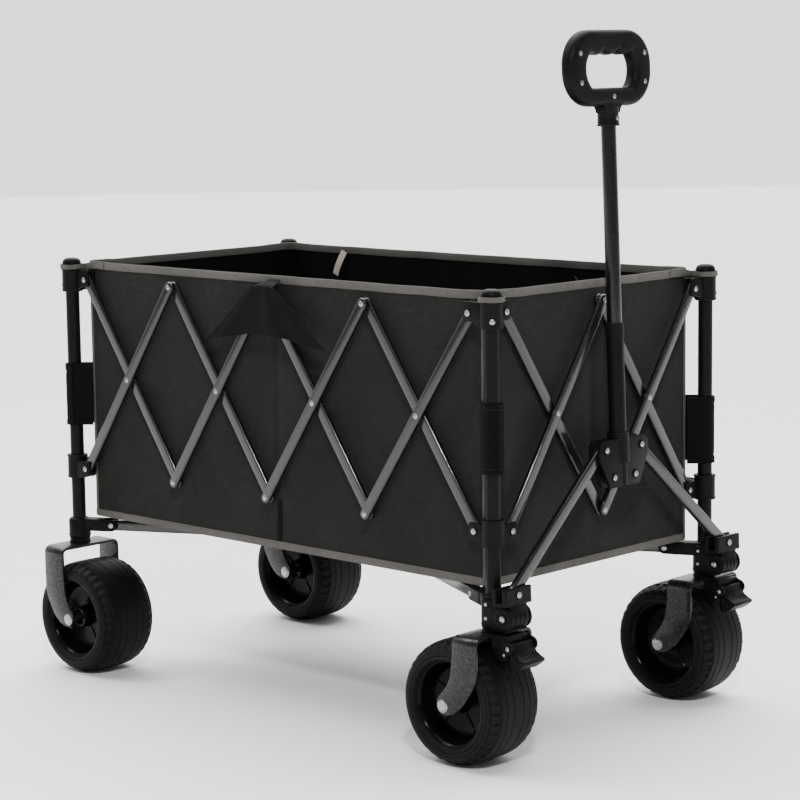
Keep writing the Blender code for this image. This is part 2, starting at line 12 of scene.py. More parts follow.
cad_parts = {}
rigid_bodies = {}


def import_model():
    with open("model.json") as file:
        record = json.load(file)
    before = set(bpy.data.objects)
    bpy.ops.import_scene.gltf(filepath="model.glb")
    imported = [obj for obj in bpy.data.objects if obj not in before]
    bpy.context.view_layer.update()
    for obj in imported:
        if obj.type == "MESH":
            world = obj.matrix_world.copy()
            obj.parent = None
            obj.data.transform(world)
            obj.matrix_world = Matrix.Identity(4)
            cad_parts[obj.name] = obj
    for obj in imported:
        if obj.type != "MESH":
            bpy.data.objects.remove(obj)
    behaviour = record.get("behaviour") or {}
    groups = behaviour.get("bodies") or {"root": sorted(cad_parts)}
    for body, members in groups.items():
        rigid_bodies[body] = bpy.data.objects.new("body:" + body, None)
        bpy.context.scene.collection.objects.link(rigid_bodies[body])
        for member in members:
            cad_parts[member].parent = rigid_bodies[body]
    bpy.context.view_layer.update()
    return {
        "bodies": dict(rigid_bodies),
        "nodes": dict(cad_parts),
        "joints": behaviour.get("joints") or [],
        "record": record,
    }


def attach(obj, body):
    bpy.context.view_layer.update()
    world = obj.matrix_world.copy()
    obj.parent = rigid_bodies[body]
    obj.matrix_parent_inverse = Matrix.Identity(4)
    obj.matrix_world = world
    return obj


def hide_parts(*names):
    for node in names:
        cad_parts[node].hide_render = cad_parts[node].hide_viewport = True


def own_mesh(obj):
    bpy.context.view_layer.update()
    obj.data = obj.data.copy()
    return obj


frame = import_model()

# ---- sizes shared with the frame -------------------------------------------------------------
SHIFT = Vector((-0.0165, 0, 0))
CELL, EAR = 0.209, 0.0335
POST_X, POST_Y = 2 * CELL + EAR, CELL + EAR
PIN_TOP, PIN_LOW = 0.636, 0.33
BAR_LONG, BAR_HALF, LAYER, GAP = hypot(CELL, 0.306), 0.0085, 0.008, 0.0003
SHORT_PLANE = -0.005
TUBE_R, RING_R = 0.011, 0.016
WHEEL_R, WHEEL_HALF = 0.09, 0.0535
TRAIL_FRONT, LEAD_REAR = -0.044, 0.037
ARM_IN, ARM_OUT = 0.0546, 0.0594
FLOOR_Z, FLOOR_ARM, FLOOR_HALF = 0.235, 0.06, 0.008
SLANT = atan2(1, 2)
HUB_X = 0.075
HUB_Y = POST_Y - (POST_X - HUB_X) / 2
FLOOR_LONG = hypot(POST_X - HUB_X, POST_Y - HUB_Y) - FLOOR_ARM
PITCH_X, PITCH_Z, LEAN = POST_X + 0.035, 0.218, radians(2.2)
YOKE_U, HUB_U, HUB_PIN_Y = 0.032, 0.207, 0.04

# the tub
WALL_X, WALL_Y = POST_X - 0.0195, POST_Y - 0.015
WALL_LOW, WALL_HIGH = 0.2506, 0.6632
CUT = 0.008                # the tub's corners are just taken off behind the posts
CLOTH = 0.0009
TAPE = 0.0108               # binding width on the rim
CORNERS = {"front_right": (1, -1), "front_left": (1, 1), "rear_right": (-1, -1),
           "rear_left": (-1, 1)}
X, Y, Z = Vector((1, 0, 0)), Vector((0, 1, 0)), Vector((0, 0, 1))


# ---- materials -------------------------------------------------------------------------------
class Nodes:
    """A short way to write a node tree: each call adds a node and returns its output."""

    def __init__(self, name):
        self.material = bpy.data.materials.new(name)
        self.material.use_nodes = True
        self.tree = self.material.node_tree
        self.shader = self.tree.nodes["Principled BSDF"]
        self.place = self.add("ShaderNodeTexCoord").outputs["Object"]

    def add(self, kind, **settings):
        node = self.tree.nodes.new(kind)
        for key, value in settings.items():
            setattr(node, key, value)
        return node

    def feed(self, socket, value):
        if isinstance(value, bpy.types.NodeSocket):
            self.tree.links.new(value, socket)
        else:
            socket.default_value = value

    def noise(self, scale, detail=3.0, rough=0.5):
        node = self.add("ShaderNodeTexNoise")
        self.feed(node.inputs["Vector"], self.place)
        node.inputs["Scale"].default_value = scale
        node.inputs["Detail"].default_value = detail
        node.inputs["Roughness"].default_value = rough
        return node.outputs["Fac"]

    def cells(self, scale):
        node = self.add("ShaderNodeTexVoronoi", feature="SMOOTH_F1")
        self.feed(node.inputs["Vector"], self.place)
        node.inputs["Scale"].default_value = scale
        return node.outputs["Distance"]

    def wave(self, scale, axis):
        node = self.add("ShaderNodeTexWave", bands_direction=axis, wave_profile="SIN")
        self.feed(node.inputs["Vector"], self.place)
        node.inputs["Scale"].default_value = scale
        node.inputs["Distortion"].default_value = 0.4
        return node.outputs["Fac"]

    def math(self, operation, a, b):
        node = self.add("ShaderNodeMath", operation=operation)
        self.feed(node.inputs[0], a)
        self.feed(node.inputs[1], b)
        return node.outputs[0]

    def ramp(self, value, low, high, to_low=0.0, to_high=1.0):
        node = self.add("ShaderNodeMapRange")
        for socket, v in zip(node.inputs, (value, low, high, to_low, to_high)):
            self.feed(socket, v)
        return node.outputs[0]

    def mix(self, share, a, b):
        node = self.add("ShaderNodeMix", data_type="RGBA")
        self.feed(node.inputs["Factor"], share)
        for socket, colour in ((node.inputs[6], a), (node.inputs[7], b)):
            self.feed(socket, colour if isinstance(colour, bpy.types.NodeSocket) else (*colour, 1))
        return node.outputs[2]

    def outward_edges(self):
        """1 on outward edges and 0 on flats, from the mesh's own pointiness."""
        return self.ramp(self.add("ShaderNodeNewGeometry").outputs["Pointiness"], 0.51, 0.58)

    def bump(self, height, strength, distance):
        node = self.add("ShaderNodeBump")
        self.feed(node.inputs["Height"], height)
        node.inputs["Strength"].default_value = strength
        node.inputs["Distance"].default_value = distance
        self.feed(self.shader.inputs["Normal"], node.outputs["Normal"])
        return self

    def set(self, **values):
        names = {"colour": "Base Color", "rough": "Roughness", "metal": "Metallic",
                 "sheen": "Sheen Weight", "sheen_rough": "Sheen Roughness",
                 "coat": "Coat Weight", "coat_rough": "Coat Roughness",
                 "specular": "Specular IOR Level"}
        for key, value in values.items():
            if isinstance(value, tuple):
                value = (*value, 1)
            self.feed(self.shader.inputs[names[key]], value)
        return self


def hammered(name, dark, light, scale, depth, shine=0.25):
    """Hammer-finish powder coat: small rounded dimples over a faint fleck."""
    n = Nodes(name)
    dimples = n.cells(scale)
    fleck = n.noise(scale * 1.3, 2, 0.6)
    n.set(colour=n.mix(n.ramp(fleck, 0.44, 0.62), dark, light),
          rough=n.ramp(dimples, 0.1, 0.7, 0.26, 0.42), metal=0.3, specular=0.15,
          coat=shine, coat_rough=0.1)
    return n.bump(n.math("ADD", dimples, n.math("MULTIPLY", fleck, 0.4)), 0.55, depth).material


def moulded(name, dark, light, rough, grain, depth):
    """Moulded or coated black: a fine grain, slow shade drift and lighter outward edges."""
    n = Nodes(name)
    fine, slow = n.noise(grain, 3, 0.6), n.noise(9.0, 2)
    body = n.mix(n.ramp(slow, 0.35, 0.7), dark, light)
    # outward edges, found from the mesh's pointiness, are coloured up to 2.2 times lighter than the flats
    lighter_edge = n.math("MULTIPLY", n.outward_edges(), n.ramp(fine, 0.4, 0.6, 0.3, 1.0))
    n.set(colour=n.mix(lighter_edge, body, tuple(min(1, c * 2.2) for c in light)),
          rough=n.ramp(fine, 0.3, 0.7, rough - 0.07, rough + 0.08), specular=0.06)
    return n.bump(fine, 0.5, depth).material


def woven(name, dark, light, thread, sheen, depth=0.00025, specular=0.1):
    """Plain-woven cloth: three sets of threads, uneven yarn and a slow blotch of shade."""
    n = Nodes(name)
    pitch = 1 / thread / 2 / pi * 10
    warp, weft, side = (n.wave(pitch, axis) for axis in "XZY")
    weave = n.math("MULTIPLY", n.math("MAXIMUM", warp, side), weft)
    yarn, blotch = n.noise(420, 3, 0.7), n.noise(14, 4, 0.55)
    shade = n.math("ADD", n.math("MULTIPLY", weave, 0.35), n.math("MULTIPLY", yarn, 0.65))
    base = n.mix(n.ramp(shade, 0.25, 0.8), dark, light)
    n.set(colour=n.mix(n.ramp(blotch, 0.35, 0.75, 0.0, 0.45), base,
                       tuple(c * 0.55 for c in dark)),
          rough=n.ramp(yarn, 0.3, 0.7, 0.8, 0.95), sheen=sheen, sheen_rough=0.55, specular=specular)
    return n.bump(n.math("ADD", weave, n.math("MULTIPLY", yarn, 0.5)), 0.5, depth).material


def rubber(name):
    """Dusty matt rubber."""
    n = Nodes(name)
    fine, dust = n.noise(260, 4, 0.6), n.noise(22, 4, 0.6)
    n.set(colour=n.mix(n.ramp(dust, 0.45, 0.8), (0.0017, 0.0017, 0.0018), (0.0042, 0.0041, 0.004)),
          rough=n.ramp(fine, 0.3, 0.7, 0.5, 0.68), specular=0.13)
    return n.bump(fine, 0.4, 0.00025).material


def steel(name):
    """Brushed zinc-plated steel."""
    n = Nodes(name)
    brush = n.noise(700, 2, 0.5)
    n.set(colour=n.mix(brush, (0.26, 0.26, 0.255), (0.44, 0.43, 0.42)), metal=1.0,
          rough=n.ramp(brush, 0.3, 0.7, 0.24, 0.4))
    return n.bump(brush, 0.2, 0.00005).material


BAR_COAT = hammered("hammered_bar_coat", (0.0045, 0.0042, 0.0038), (0.0165, 0.0156, 0.0142),
                    340, 0.00042, 0.75)
FORK_COAT = hammered("hammered_fork_coat", (0.002, 0.0018, 0.0016), (0.026, 0.0243, 0.0218),
                     330, 0.00085)
TUBE_COAT = hammered("hammered_tube_coat", (0.0024, 0.0022, 0.002), (0.01, 0.0093, 0.0085),
                     330, 0.00045, 0.5)
POST_COAT = moulded("satin_post_coat", (0.0016, 0.0016, 0.0017), (0.003, 0.003, 0.0032), 0.34, 500, 0.00008)
NYLON = moulded("black_nylon", (0.0017, 0.0017, 0.0018), (0.0034, 0.0034, 0.0035), 0.42, 380, 0.00018)
GRIP_SKIN = moulded("textured_grip_skin", (0.0026, 0.0026, 0.0027), (0.0058, 0.0058, 0.0058), 0.44,
                    230, 0.0004)
RIM_GLOSS = moulded("glossy_rim", (0.0022, 0.0022, 0.0023), (0.004, 0.004, 0.0042), 0.18, 120, 0.00004)
TYRE_RUBBER = rubber("tyre_rubber")
STEEL = steel("screw_steel")
RECESS = moulded("screw_recess", (0.01, 0.01, 0.01), (0.02, 0.02, 0.02), 0.6, 400, 0.00005)
WALL_CLOTH = woven("charcoal_wall_cloth", (0.0054, 0.0051, 0.0043), (0.0125, 0.0119, 0.0104), 0.0011, 0.04)
INNER_CLOTH = woven("black_lining", (0.0016, 0.0016, 0.0015), (0.0034, 0.0033, 0.003), 0.0012, 0.0)
BINDING = woven("taupe_binding", (0.066, 0.062, 0.056), (0.128, 0.121, 0.11), 0.0016, 0.08, 0.0004)
SLEEVE_CLOTH = woven("black_sleeve_cloth", (0.0014, 0.0014, 0.0014), (0.0034, 0.0034, 0.0033), 0.001, 0.0)
FLAP_CLOTH = woven("coated_flap_cloth", (0.001, 0.0013, 0.0012), (0.0022, 0.0027, 0.0025), 0.0008,
                   0.0, 0.0001, specular=0.12)
STITCH = woven("stitch_thread", (0.03, 0.03, 0.028), (0.06, 0.058, 0.054), 0.0006, 0.1, 0.0001)
TAB_CLOTH = woven("beige_tab", (0.42, 0.37, 0.31), (0.62, 0.56, 0.48), 0.0012, 0.1, 0.0002)
BOARD_CLOTH = woven("padded_board_cloth", (0.0024, 0.0023, 0.0022), (0.0052, 0.005, 0.0048), 0.0014,
                    0.02, 0.0004)


# ---- mesh helpers ----------------------------------------------------------------------------
def place(name, data):
    """A new object with this data, linked into the scene."""
    obj = bpy.data.objects.new(name, data)
    bpy.context.scene.collection.objects.link(obj)
    return obj


WORLD = (Vector((0, 0, 0)), X, Y, Z)


def ring(p, q, r, n):
    """Points of a circle round (p, q)."""
    return [(p + r * cos(2 * pi * i / n), q + r * sin(2 * pi * i / n)) for i in range(n)]


def arc(p, q, r, a, b, n):
    """Points of an arc round (p, q) from heading a to heading b, in degrees."""
    return [(p + r * cos(radians(a + (b - a) * i / n)), q + r * sin(radians(a + (b - a) * i / n)))
            for i in range(n + 1)]


def rounded(p0, p1, q0, q1, r, n=4):
    """A rectangle with corners of radius r."""
    return (arc(p1 - r, q0 + r, r, -90, 0, n) + arc(p1 - r, q1 - r, r, 0, 90, n)
            + arc(p0 + r, q1 - r, r, 90, 180, n) + arc(p0 + r, q0 + r, r, 180, 270, n))


def box_bar(start, end, half, n):
    """Outline of a straight bar with round ends, along its frame's first axis."""
    return arc(end, 0, half, -90, 90, n) + arc(start, 0, half, 90, 270, n)


def prism(outline, low, high, frame=WORLD, edge=0.0, steps=2):
    """An outline in the frame's first two axes, run along its third, with its sharp edges rounded."""
    o, a, b, c = frame
    bm = bmesh.new()
    n = len(outline)
    rows = [[bm.verts.new(o + a * p + b * q + c * r) for p, q in outline] for r in (low, high)]
    bm.faces.new(rows[0][::-1])
    bm.faces.new(rows[1])
    for i in range(n):
        j = (i + 1) % n
        bm.faces.new((rows[0][i], rows[0][j], rows[1][j], rows[1][i]))
    bmesh.ops.recalc_face_normals(bm, faces=bm.faces)
    if edge:
        sharp = [e for e in bm.edges if e.calc_face_angle(0) > radians(32)]
        bmesh.ops.bevel(bm, geom=sharp, offset=edge, segments=steps, profile=0.5,
                        affect="EDGES", clamp_overlap=True)
    return bm


def lathe(profile, frame=WORLD, n=20, closed=False):
    """A profile of (radius, height) turned round the frame's third axis."""
    o, a, b, c = frame
    bm = bmesh.new()
    rows = []
    for r, h in profile:
        if r < 1e-7:
            rows.append([bm.verts.new(o + c * h)] * n)
        else:
            rows.append([bm.verts.new(o + (a * cos(2 * pi * i / n) + b * sin(2 * pi * i / n)) * r
                                      + c * h) for i in range(n)])
    pairs = list(zip(rows, rows[1:] + rows[:1] if closed else rows[1:]))
    for lower, upper in pairs:
        for i in range(n):
            j = (i + 1) % n
            corners = []
            for v in (lower[i], lower[j], upper[j], upper[i]):
                if v not in corners:
                    corners.append(v)
            if len(corners) > 2:
                bm.faces.new(corners)
    if not closed:
        for row in (rows[0], rows[-1]):
            if row[0] is not row[1]:
                bm.faces.new(row)
    bmesh.ops.recalc_face_normals(bm, faces=bm.faces)
    return bm


def tube(r_out, r_in, low, high, frame, n, edge):
    """A pipe with its two outer edges cut back."""
    return lathe([(r_in, low), (r_out - edge, low), (r_out, low + edge), (r_out, high - edge),
                  (r_out - edge, high), (r_in, high)], frame, n, closed=True)


def rod(radius, low, high, frame, n=20):
    """A plain round pin along the frame's third axis."""
    return lathe([(0, low), (radius, low), (radius, high), (0, high)], frame, n)


def facing(point, out):
    """A frame at a point of an upright face, its third axis running out of the face."""
    return (point, X, out.cross(X), out)


def post_axis(corner):
    """Where the axis of a corner's post meets the ground."""
    sx, sy = CORNERS[corner]
    return Vector((sx * POST_X, sy * POST_Y, 0))


def grid(rows, closed_u=False, closed_v=False, caps=False):
    """Faces over a table of points; closed_u joins each row's ends, closed_v the last row to the first."""
    bm = bmesh.new()
    v = [[bm.verts.new(p) for p in row] for row in rows]
    nu, nv = len(rows[0]), len(rows)
    for k in range(nv if closed_v else nv - 1):
        for i in range(nu if closed_u else nu - 1):
            bm.faces.new((v[k][i], v[k][(i + 1) % nu], v[(k + 1) % nv][(i + 1) % nu],
                          v[(k + 1) % nv][i]))
    if caps:
        bm.faces.new(v[0])
        bm.faces.new(v[-1])
    bmesh.ops.recalc_face_normals(bm, faces=bm.faces)
    return bm


class Shape:
    """Several closed shells with their own materials, gathered into one piece."""

    def __init__(self):
        self.verts, self.faces, self.index, self.mats = [], [], [], []

    def add(self, bm, coat, matrix=None):
        if coat not in self.mats:
            self.mats.append(coat)
        bm.verts.index_update()
        base = len(self.verts)
        self.verts += [(matrix @ v.co) if matrix else v.co.copy() for v in bm.verts]
        self.faces += [[base + v.index for v in f.verts] for f in bm.faces]
        self.index += [self.mats.index(coat)] * len(bm.faces)
        return self

    def plate(self, outline, side, near, far, frame, edge=0.0, steps=2):
        """A nylon plate between two distances from a middle plane; side is 1 or -1."""
        low, high = sorted((side * near, side * far))
        return self.add(prism(outline, low, high, frame, edge, steps), NYLON)

    def cloth(self, outer, inner, coat, lining):
        """A closed cloth between two tables of points, with a coat on each face."""
        nv, nu = len(outer), len(outer[0])
        bm = bmesh.new()
        a = [[bm.verts.new(p) for p in row] for row in outer]
        b = [[bm.verts.new(p) for p in row] for row in inner]
        for k in range(nv - 1):
            for i in range(nu - 1):
                bm.faces.new((a[k][i], a[k][i + 1], a[k + 1][i + 1], a[k + 1][i]))
        for k in range(nv - 1):
            for i in range(nu - 1):
                bm.faces.new((b[k][i], b[k + 1][i], b[k + 1][i + 1], b[k][i + 1]))
        for i in range(nu - 1):
            bm.faces.new((a[0][i], b[0][i], b[0][i + 1], a[0][i + 1]))
            bm.faces.new((a[-1][i], a[-1][i + 1], b[-1][i + 1], b[-1][i]))
        for k in range(nv - 1):
            bm.faces.new((a[k][0], a[k + 1][0], b[k + 1][0], b[k][0]))
            bm.faces.new((a[k][-1], b[k][-1], b[k + 1][-1], a[k + 1][-1]))
        n = (nv - 1) * (nu - 1)
        bmesh.ops.recalc_face_normals(bm, faces=bm.faces)
        start = len(self.faces)
        self.add(bm, coat)
        if lining not in self.mats:
            self.mats.append(lining)
        for i in range(start + n, start + 2 * n):
            self.index[i] = self.mats.index(lining)
        return self

    def stitches(self, path, out, pitch=0.0034, long=0.0023, r=0.00032):
        """A row of sewn stitches on a face, along a path of points; out is one vector or a list."""
        bm, walked, goal = bmesh.new(), 0.0, pitch / 2
        for i in range(len(path) - 1):
            a, b = path[i], path[i + 1]
            span = (b - a).length
            while goal <= walked + span and span > 0:
                at = a + (b - a) * ((goal - walked) / span)
                up = (out[i] if isinstance(out, list) else out).normalized()
                way = (b - a).normalized()
                side = way.cross(up).normalized() * r
                h = way * long / 2
                tips = [bm.verts.new(at - h - up * 0.0002), bm.verts.new(at + h - up * 0.0002)]
                mid = [bm.verts.new(at + side), bm.verts.new(at + up * r * 1.1),
                       bm.verts.new(at - side), bm.verts.new(at - up * r)]
                for q in range(4):
                    for tip in tips:
                        bm.faces.new((tip, mid[q], mid[(q + 1) % 4]))
                goal += pitch
            walked += span
        bmesh.ops.recalc_face_normals(bm, faces=bm.faces)
        return self.add(bm, STITCH)

    def make(self, name, body, *nodes, slot=None, angle=38):
        mesh = bpy.data.meshes.new(name)
        mesh.from_pydata([tuple(v + SHIFT) for v in self.verts], [], self.faces)
        for coat in self.mats:
            mesh.materials.append(coat)
        mesh.polygons.foreach_set("material_index", self.index)
        mesh.polygons.foreach_set("use_smooth", [True] * len(self.faces))
        mesh.update()
        mesh.set_sharp_from_angle(angle=radians(angle))
        obj = place(name, mesh)
        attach(obj, body)
        if nodes:
            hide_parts(*nodes)
        return obj


def aim(point, out):
    """A matrix that carries a part drawn on +Z at the origin to a point, facing out."""
    out = out.normalized()
    side = Z.cross(out)
    if side.length < 1e-5:
        side = X.cross(out)
    side.normalize()
    return Matrix.Translation(point) @ Matrix((side, out.cross(side), out)).transposed().to_4x4()


def cut_mesh(bm, cutter):
    """bm less cutter, with the exact solver, as a new bmesh."""
    objects = []
    for source in (bm, cutter):
        mesh = bpy.data.meshes.new("work")
        source.to_mesh(mesh)
        objects.append(place("work", mesh))
    mod = objects[0].modifiers.new("cut", "BOOLEAN")
    mod.object, mod.operation, mod.solver = objects[1], "DIFFERENCE", "EXACT"
    bpy.context.view_layer.update()
    done = bmesh.new()
    done.from_mesh(objects[0].evaluated_get(bpy.context.evaluated_depsgraph_get()).data)
    for o in objects:
        mesh = o.data
        bpy.data.objects.remove(o)
        bpy.data.meshes.remove(mesh)
    return done


# One screw head, 1 m in radius, scaled where it is used: a dome with a cross recess.
dome = lathe([(1.0, -0.3), (1.0, 0.1), (0.93, 0.24), (0.74, 0.38), (0.45, 0.47), (0.0, 0.5)])
slots = prism([(0.13, 0.13), (0.13, 0.62), (-0.13, 0.62), (-0.13, 0.13), (-0.62, 0.13), (-0.62, -0.13),
               (-0.13, -0.13), (-0.13, -0.62), (0.13, -0.62), (0.13, -0.13), (0.62, -0.13),
               (0.62, 0.13)], 0.22, 1.0)
SCREW = cut_mesh(dome, slots)


def screw(shape, point, out, r=0.0042, turn=20.0, tall=1.0):
    """A cross-head screw on a face; its dome is tall times half its radius high."""
    spin = Matrix.Rotation(radians(turn), 4, "Z")
    shape.add(SCREW, STEEL, aim(point, out) @ spin @ Matrix.Diagonal((r, r, r * tall, 1)))


# ---- camera ----------------------------------------------------------------------------------
CAMERA_AT = Vector((2.7162, -2.7937, 0.9973))
CAMERA_TURN, CAMERA_TILT, CAMERA_ROLL = radians(43.72), radians(7.985), radians(-0.75)
LENS, SENSOR = 112.85, 36.0


def camera():
    """The view at eye level from ahead and to the wagon's right, with a long lens."""
    az, el, roll = CAMERA_TURN, CAMERA_TILT, CAMERA_ROLL
    back = Vector((sin(az) * cos(el), -cos(az) * cos(el), sin(el)))
    right = (-back).cross(Z).normalized()
    up = right.cross(-back)
    right, up = cos(roll) * right + sin(roll) * up, -sin(roll) * right + cos(roll) * up
    data = bpy.data.cameras.new("camera")
    data.lens, data.sensor_width = LENS, SENSOR
    data.clip_start, data.clip_end = 0.1, 60.0
    obj = place("camera", data)
    obj.matrix_world = (Matrix.Translation(CAMERA_AT + SHIFT)
                        @ Matrix((right, up, back)).transposed().to_4x4())
    bpy.context.scene.camera = obj


camera()


# ---- scissor bars ----------------------------------------------------------------------------
def side_frame(side):
    """Start of a side's first cell, its running direction and its outboard direction."""
    x, y, short = POST_X, POST_Y, POST_X + SHORT_PLANE
    return {"right": (Vector((-x + EAR, -y, 0)), X, -Y), "left": (Vector((-x + EAR, y, 0)), X, Y),
            "front": (Vector((short, -y + EAR, 0)), Y, X),
            "rear": (Vector((-short, -y + EAR, 0)), Y, -X)}[side]


SUNK = 0.0002               # how far a rivet head's foot goes into its bar


def scissor_bar(outer, start, end, way, across, out, middle):
    """A box bar with rounded ends and edges and rivet heads on its own face: one in the middle, and
    one at its start and its end where another bar crosses it there."""
    h, s = BAR_LONG / 2, Shape()
    f = (middle, way, across, out)
    low, high = (GAP, GAP + LAYER) if outer else (-GAP - LAYER, -GAP)
    s.add(prism(box_bar(-h, h, BAR_HALF, 10), low, high, f, 0.0027, 4), BAR_COAT)
    face = high if outer else low
    turn = out if outer else -out
    for at, riveted in ((-h, start), (0, True), (h, end)):
        if riveted:
            point = middle + way * at + out * face
            screw(s, point - turn * SUNK, turn, 0.0041, 25 + 40 * (at > 0) + 15 * (at == 0), 0.62)
    return s


for side, cells in (("right", 4), ("left", 4), ("front", 2), ("rear", 2)):
    start, run, out = side_frame(side)
    for k in range(1, cells + 1):
        for falls, word in ((False, "rising"), (True, "falling")):
            near = start + run * ((k - 1) * CELL) + Z * (PIN_TOP if falls else PIN_LOW)
            far = start + run * (k * CELL) + Z * (PIN_LOW if falls else PIN_TOP)
            way = (far - near).normalized()
            name = f"{side}_{word}_bar_{k}"
            scissor_bar(not falls, k > 1, k < cells, way, out.cross(way), out,
                        (near + far) / 2).make(f"{name}_tube", name, name, slot="hammered_coat")


# ---- posts, top brackets and sliding collars -------------------------------------------------
def ear(s, corner, along_x, z, top):
    """A clevis that takes one bar's end: two plates on a web, screwed through."""
    sx, sy = CORNERS[corner]
    if along_x:
        o, a, c, outer = Vector((sx * POST_X, sy * POST_Y, z)), -sx * X, sy * Y, sx > 0
    else:
        o = Vector((sx * (POST_X + SHORT_PLANE), sy * POST_Y, z))
        a, c, outer = -sy * Y, sx * X, sy > 0
    outer = outer == top
    mid = (GAP + LAYER / 2) * (1 if outer else -1)
    half, wall = LAYER / 2 + GAP, 0.0032
    lip = 0.0165 if top else 0.016
    if top:                       # a level upper edge under the binding
        outline = ([(0.006, -0.0185), (0.0175, -0.017), (0.026, -0.0118)]
                   + arc(EAR + 0.002, -0.0035, 0.008, -80, 0, 8) + arc(EAR + 0.007, 0.013, 0.003, 0, 90, 5)
                   + [(0.006, lip - 0.0005)])
    else:                         # square shoulders, rounded off below
        outline = ([(0.006, -0.017), (0.018, -0.0155)] + arc(EAR + 0.002, -0.005, 0.008, -75, 0, 8)
                   + arc(EAR + 0.008, 0.01, 0.002, 0, 90, 4) + [(0.006, 0.012)])
    for side in (1, -1):
        lo, hi = sorted((mid + side * half, mid + side * (half + wall)))
        s.add(prism(outline, lo, hi, (o, a, Z, c), 0.0009), NYLON)
        pad = lathe([(0.0066, -0.0005), (0.0066, 0.0006), (0.0058, 0.0011), (0, 0.0011)],
                    (o + a * EAR + c * (mid + side * (half + wall)), a, side * c.cross(a), side * c), 28)
        s.add(pad, NYLON)
        screw(s, o + a * EAR + c * (mid + side * (half + wall + 0.001)), side * c, 0.0044,
              20 + 35 * along_x, 0.55)
    web = [(0.004, mid - half - wall + 0.0004), (RING_R + 0.0024, mid - half - wall + 0.0004),
           (RING_R + 0.0024, mid + half + wall - 0.0004), (0.004, mid + half + wall - 0.0004)]
    s.add(prism(web, -0.0164, (0.015 if top else 0.0114), (o, a, c, Z)), NYLON)


POST_TOP, BRACKET_SCREW = 0.656, 0.6265
COLLAR_LOW, COLLAR_HIGH = 0.3125, 0.35


def post(corner):
    """A post with its top bracket, the two ears on it and its domed cap."""
    sx, sy = CORNERS[corner]
    at = post_axis(corner)
    f = (at, X, Y, Z)
    low = 0.218 if sx > 0 else 0.225
    s = Shape()
    s.add(lathe([(0, low), (TUBE_R - 0.0008, low), (TUBE_R, low + 0.0008), (TUBE_R, POST_TOP),
                 (0, POST_TOP)], f, 48), POST_COAT)
    s.add(tube(RING_R, TUBE_R - 0.0005, PIN_TOP - 0.02, PIN_TOP + 0.018, f, 48, 0.0012), NYLON)
    for z in (PIN_TOP - 0.0178, PIN_TOP + 0.0158):
        s.add(tube(RING_R + 0.0007, RING_R - 0.001, z - 0.0016, z + 0.0016, f, 48, 0.0006), NYLON)
    for along in (True, False):
        ear(s, corner, along, PIN_TOP, True)
    diagonal = Vector((sx, sy, 0)).normalized()
    screw(s, at + diagonal * RING_R + Z * BRACKET_SCREW, diagonal, 0.004, 10, 0.7)
    cap = [(0, 0.654), (0.0128, 0.654), (0.0142, 0.655), (0.015, 0.6572), (0.0152, 0.66),
           (0.0149, 0.663), (0.0138, 0.666), (0.0115, 0.6684), (0.0075, 0.6699), (0, 0.6705)]
    s.add(lathe(cap, f, 48), NYLON)
    return s


def collar(corner):
    """The sliding collar and the two ears that take the lower ends of the bars."""
    f = (post_axis(corner), X, Y, Z)
    s = Shape()
    s.add(tube(RING_R, 0.0115, COLLAR_LOW, COLLAR_HIGH, f, 48, 0.0014), NYLON)
    for z in (COLLAR_LOW + 0.0018, COLLAR_HIGH - 0.0018):
        s.add(tube(RING_R + 0.0008, RING_R - 0.001, z - 0.0018, z + 0.0018, f, 48, 0.0007), NYLON)
    for along in (True, False):
        ear(s, corner, along, PIN_LOW, False)
    return s


# ---- bottom brackets and forks ---------------------------------------------------------------
def slant_frame(corner):
    """A corner's frame with its first axis level, along its floor bar."""
    sx, sy = CORNERS[corner]
    inward = Vector((-sx * cos(SLANT), -sy * sin(SLANT), 0))
    return (post_axis(corner), inward, Z.cross(inward), Z)


def pin_frame(corner, at):
    """A frame on the floor bar's line, its third axis along the bar's pins."""
    o, inward, across, up = slant_frame(corner)
    return (o + inward * at + up * FLOOR_Z, inward, up, -across)


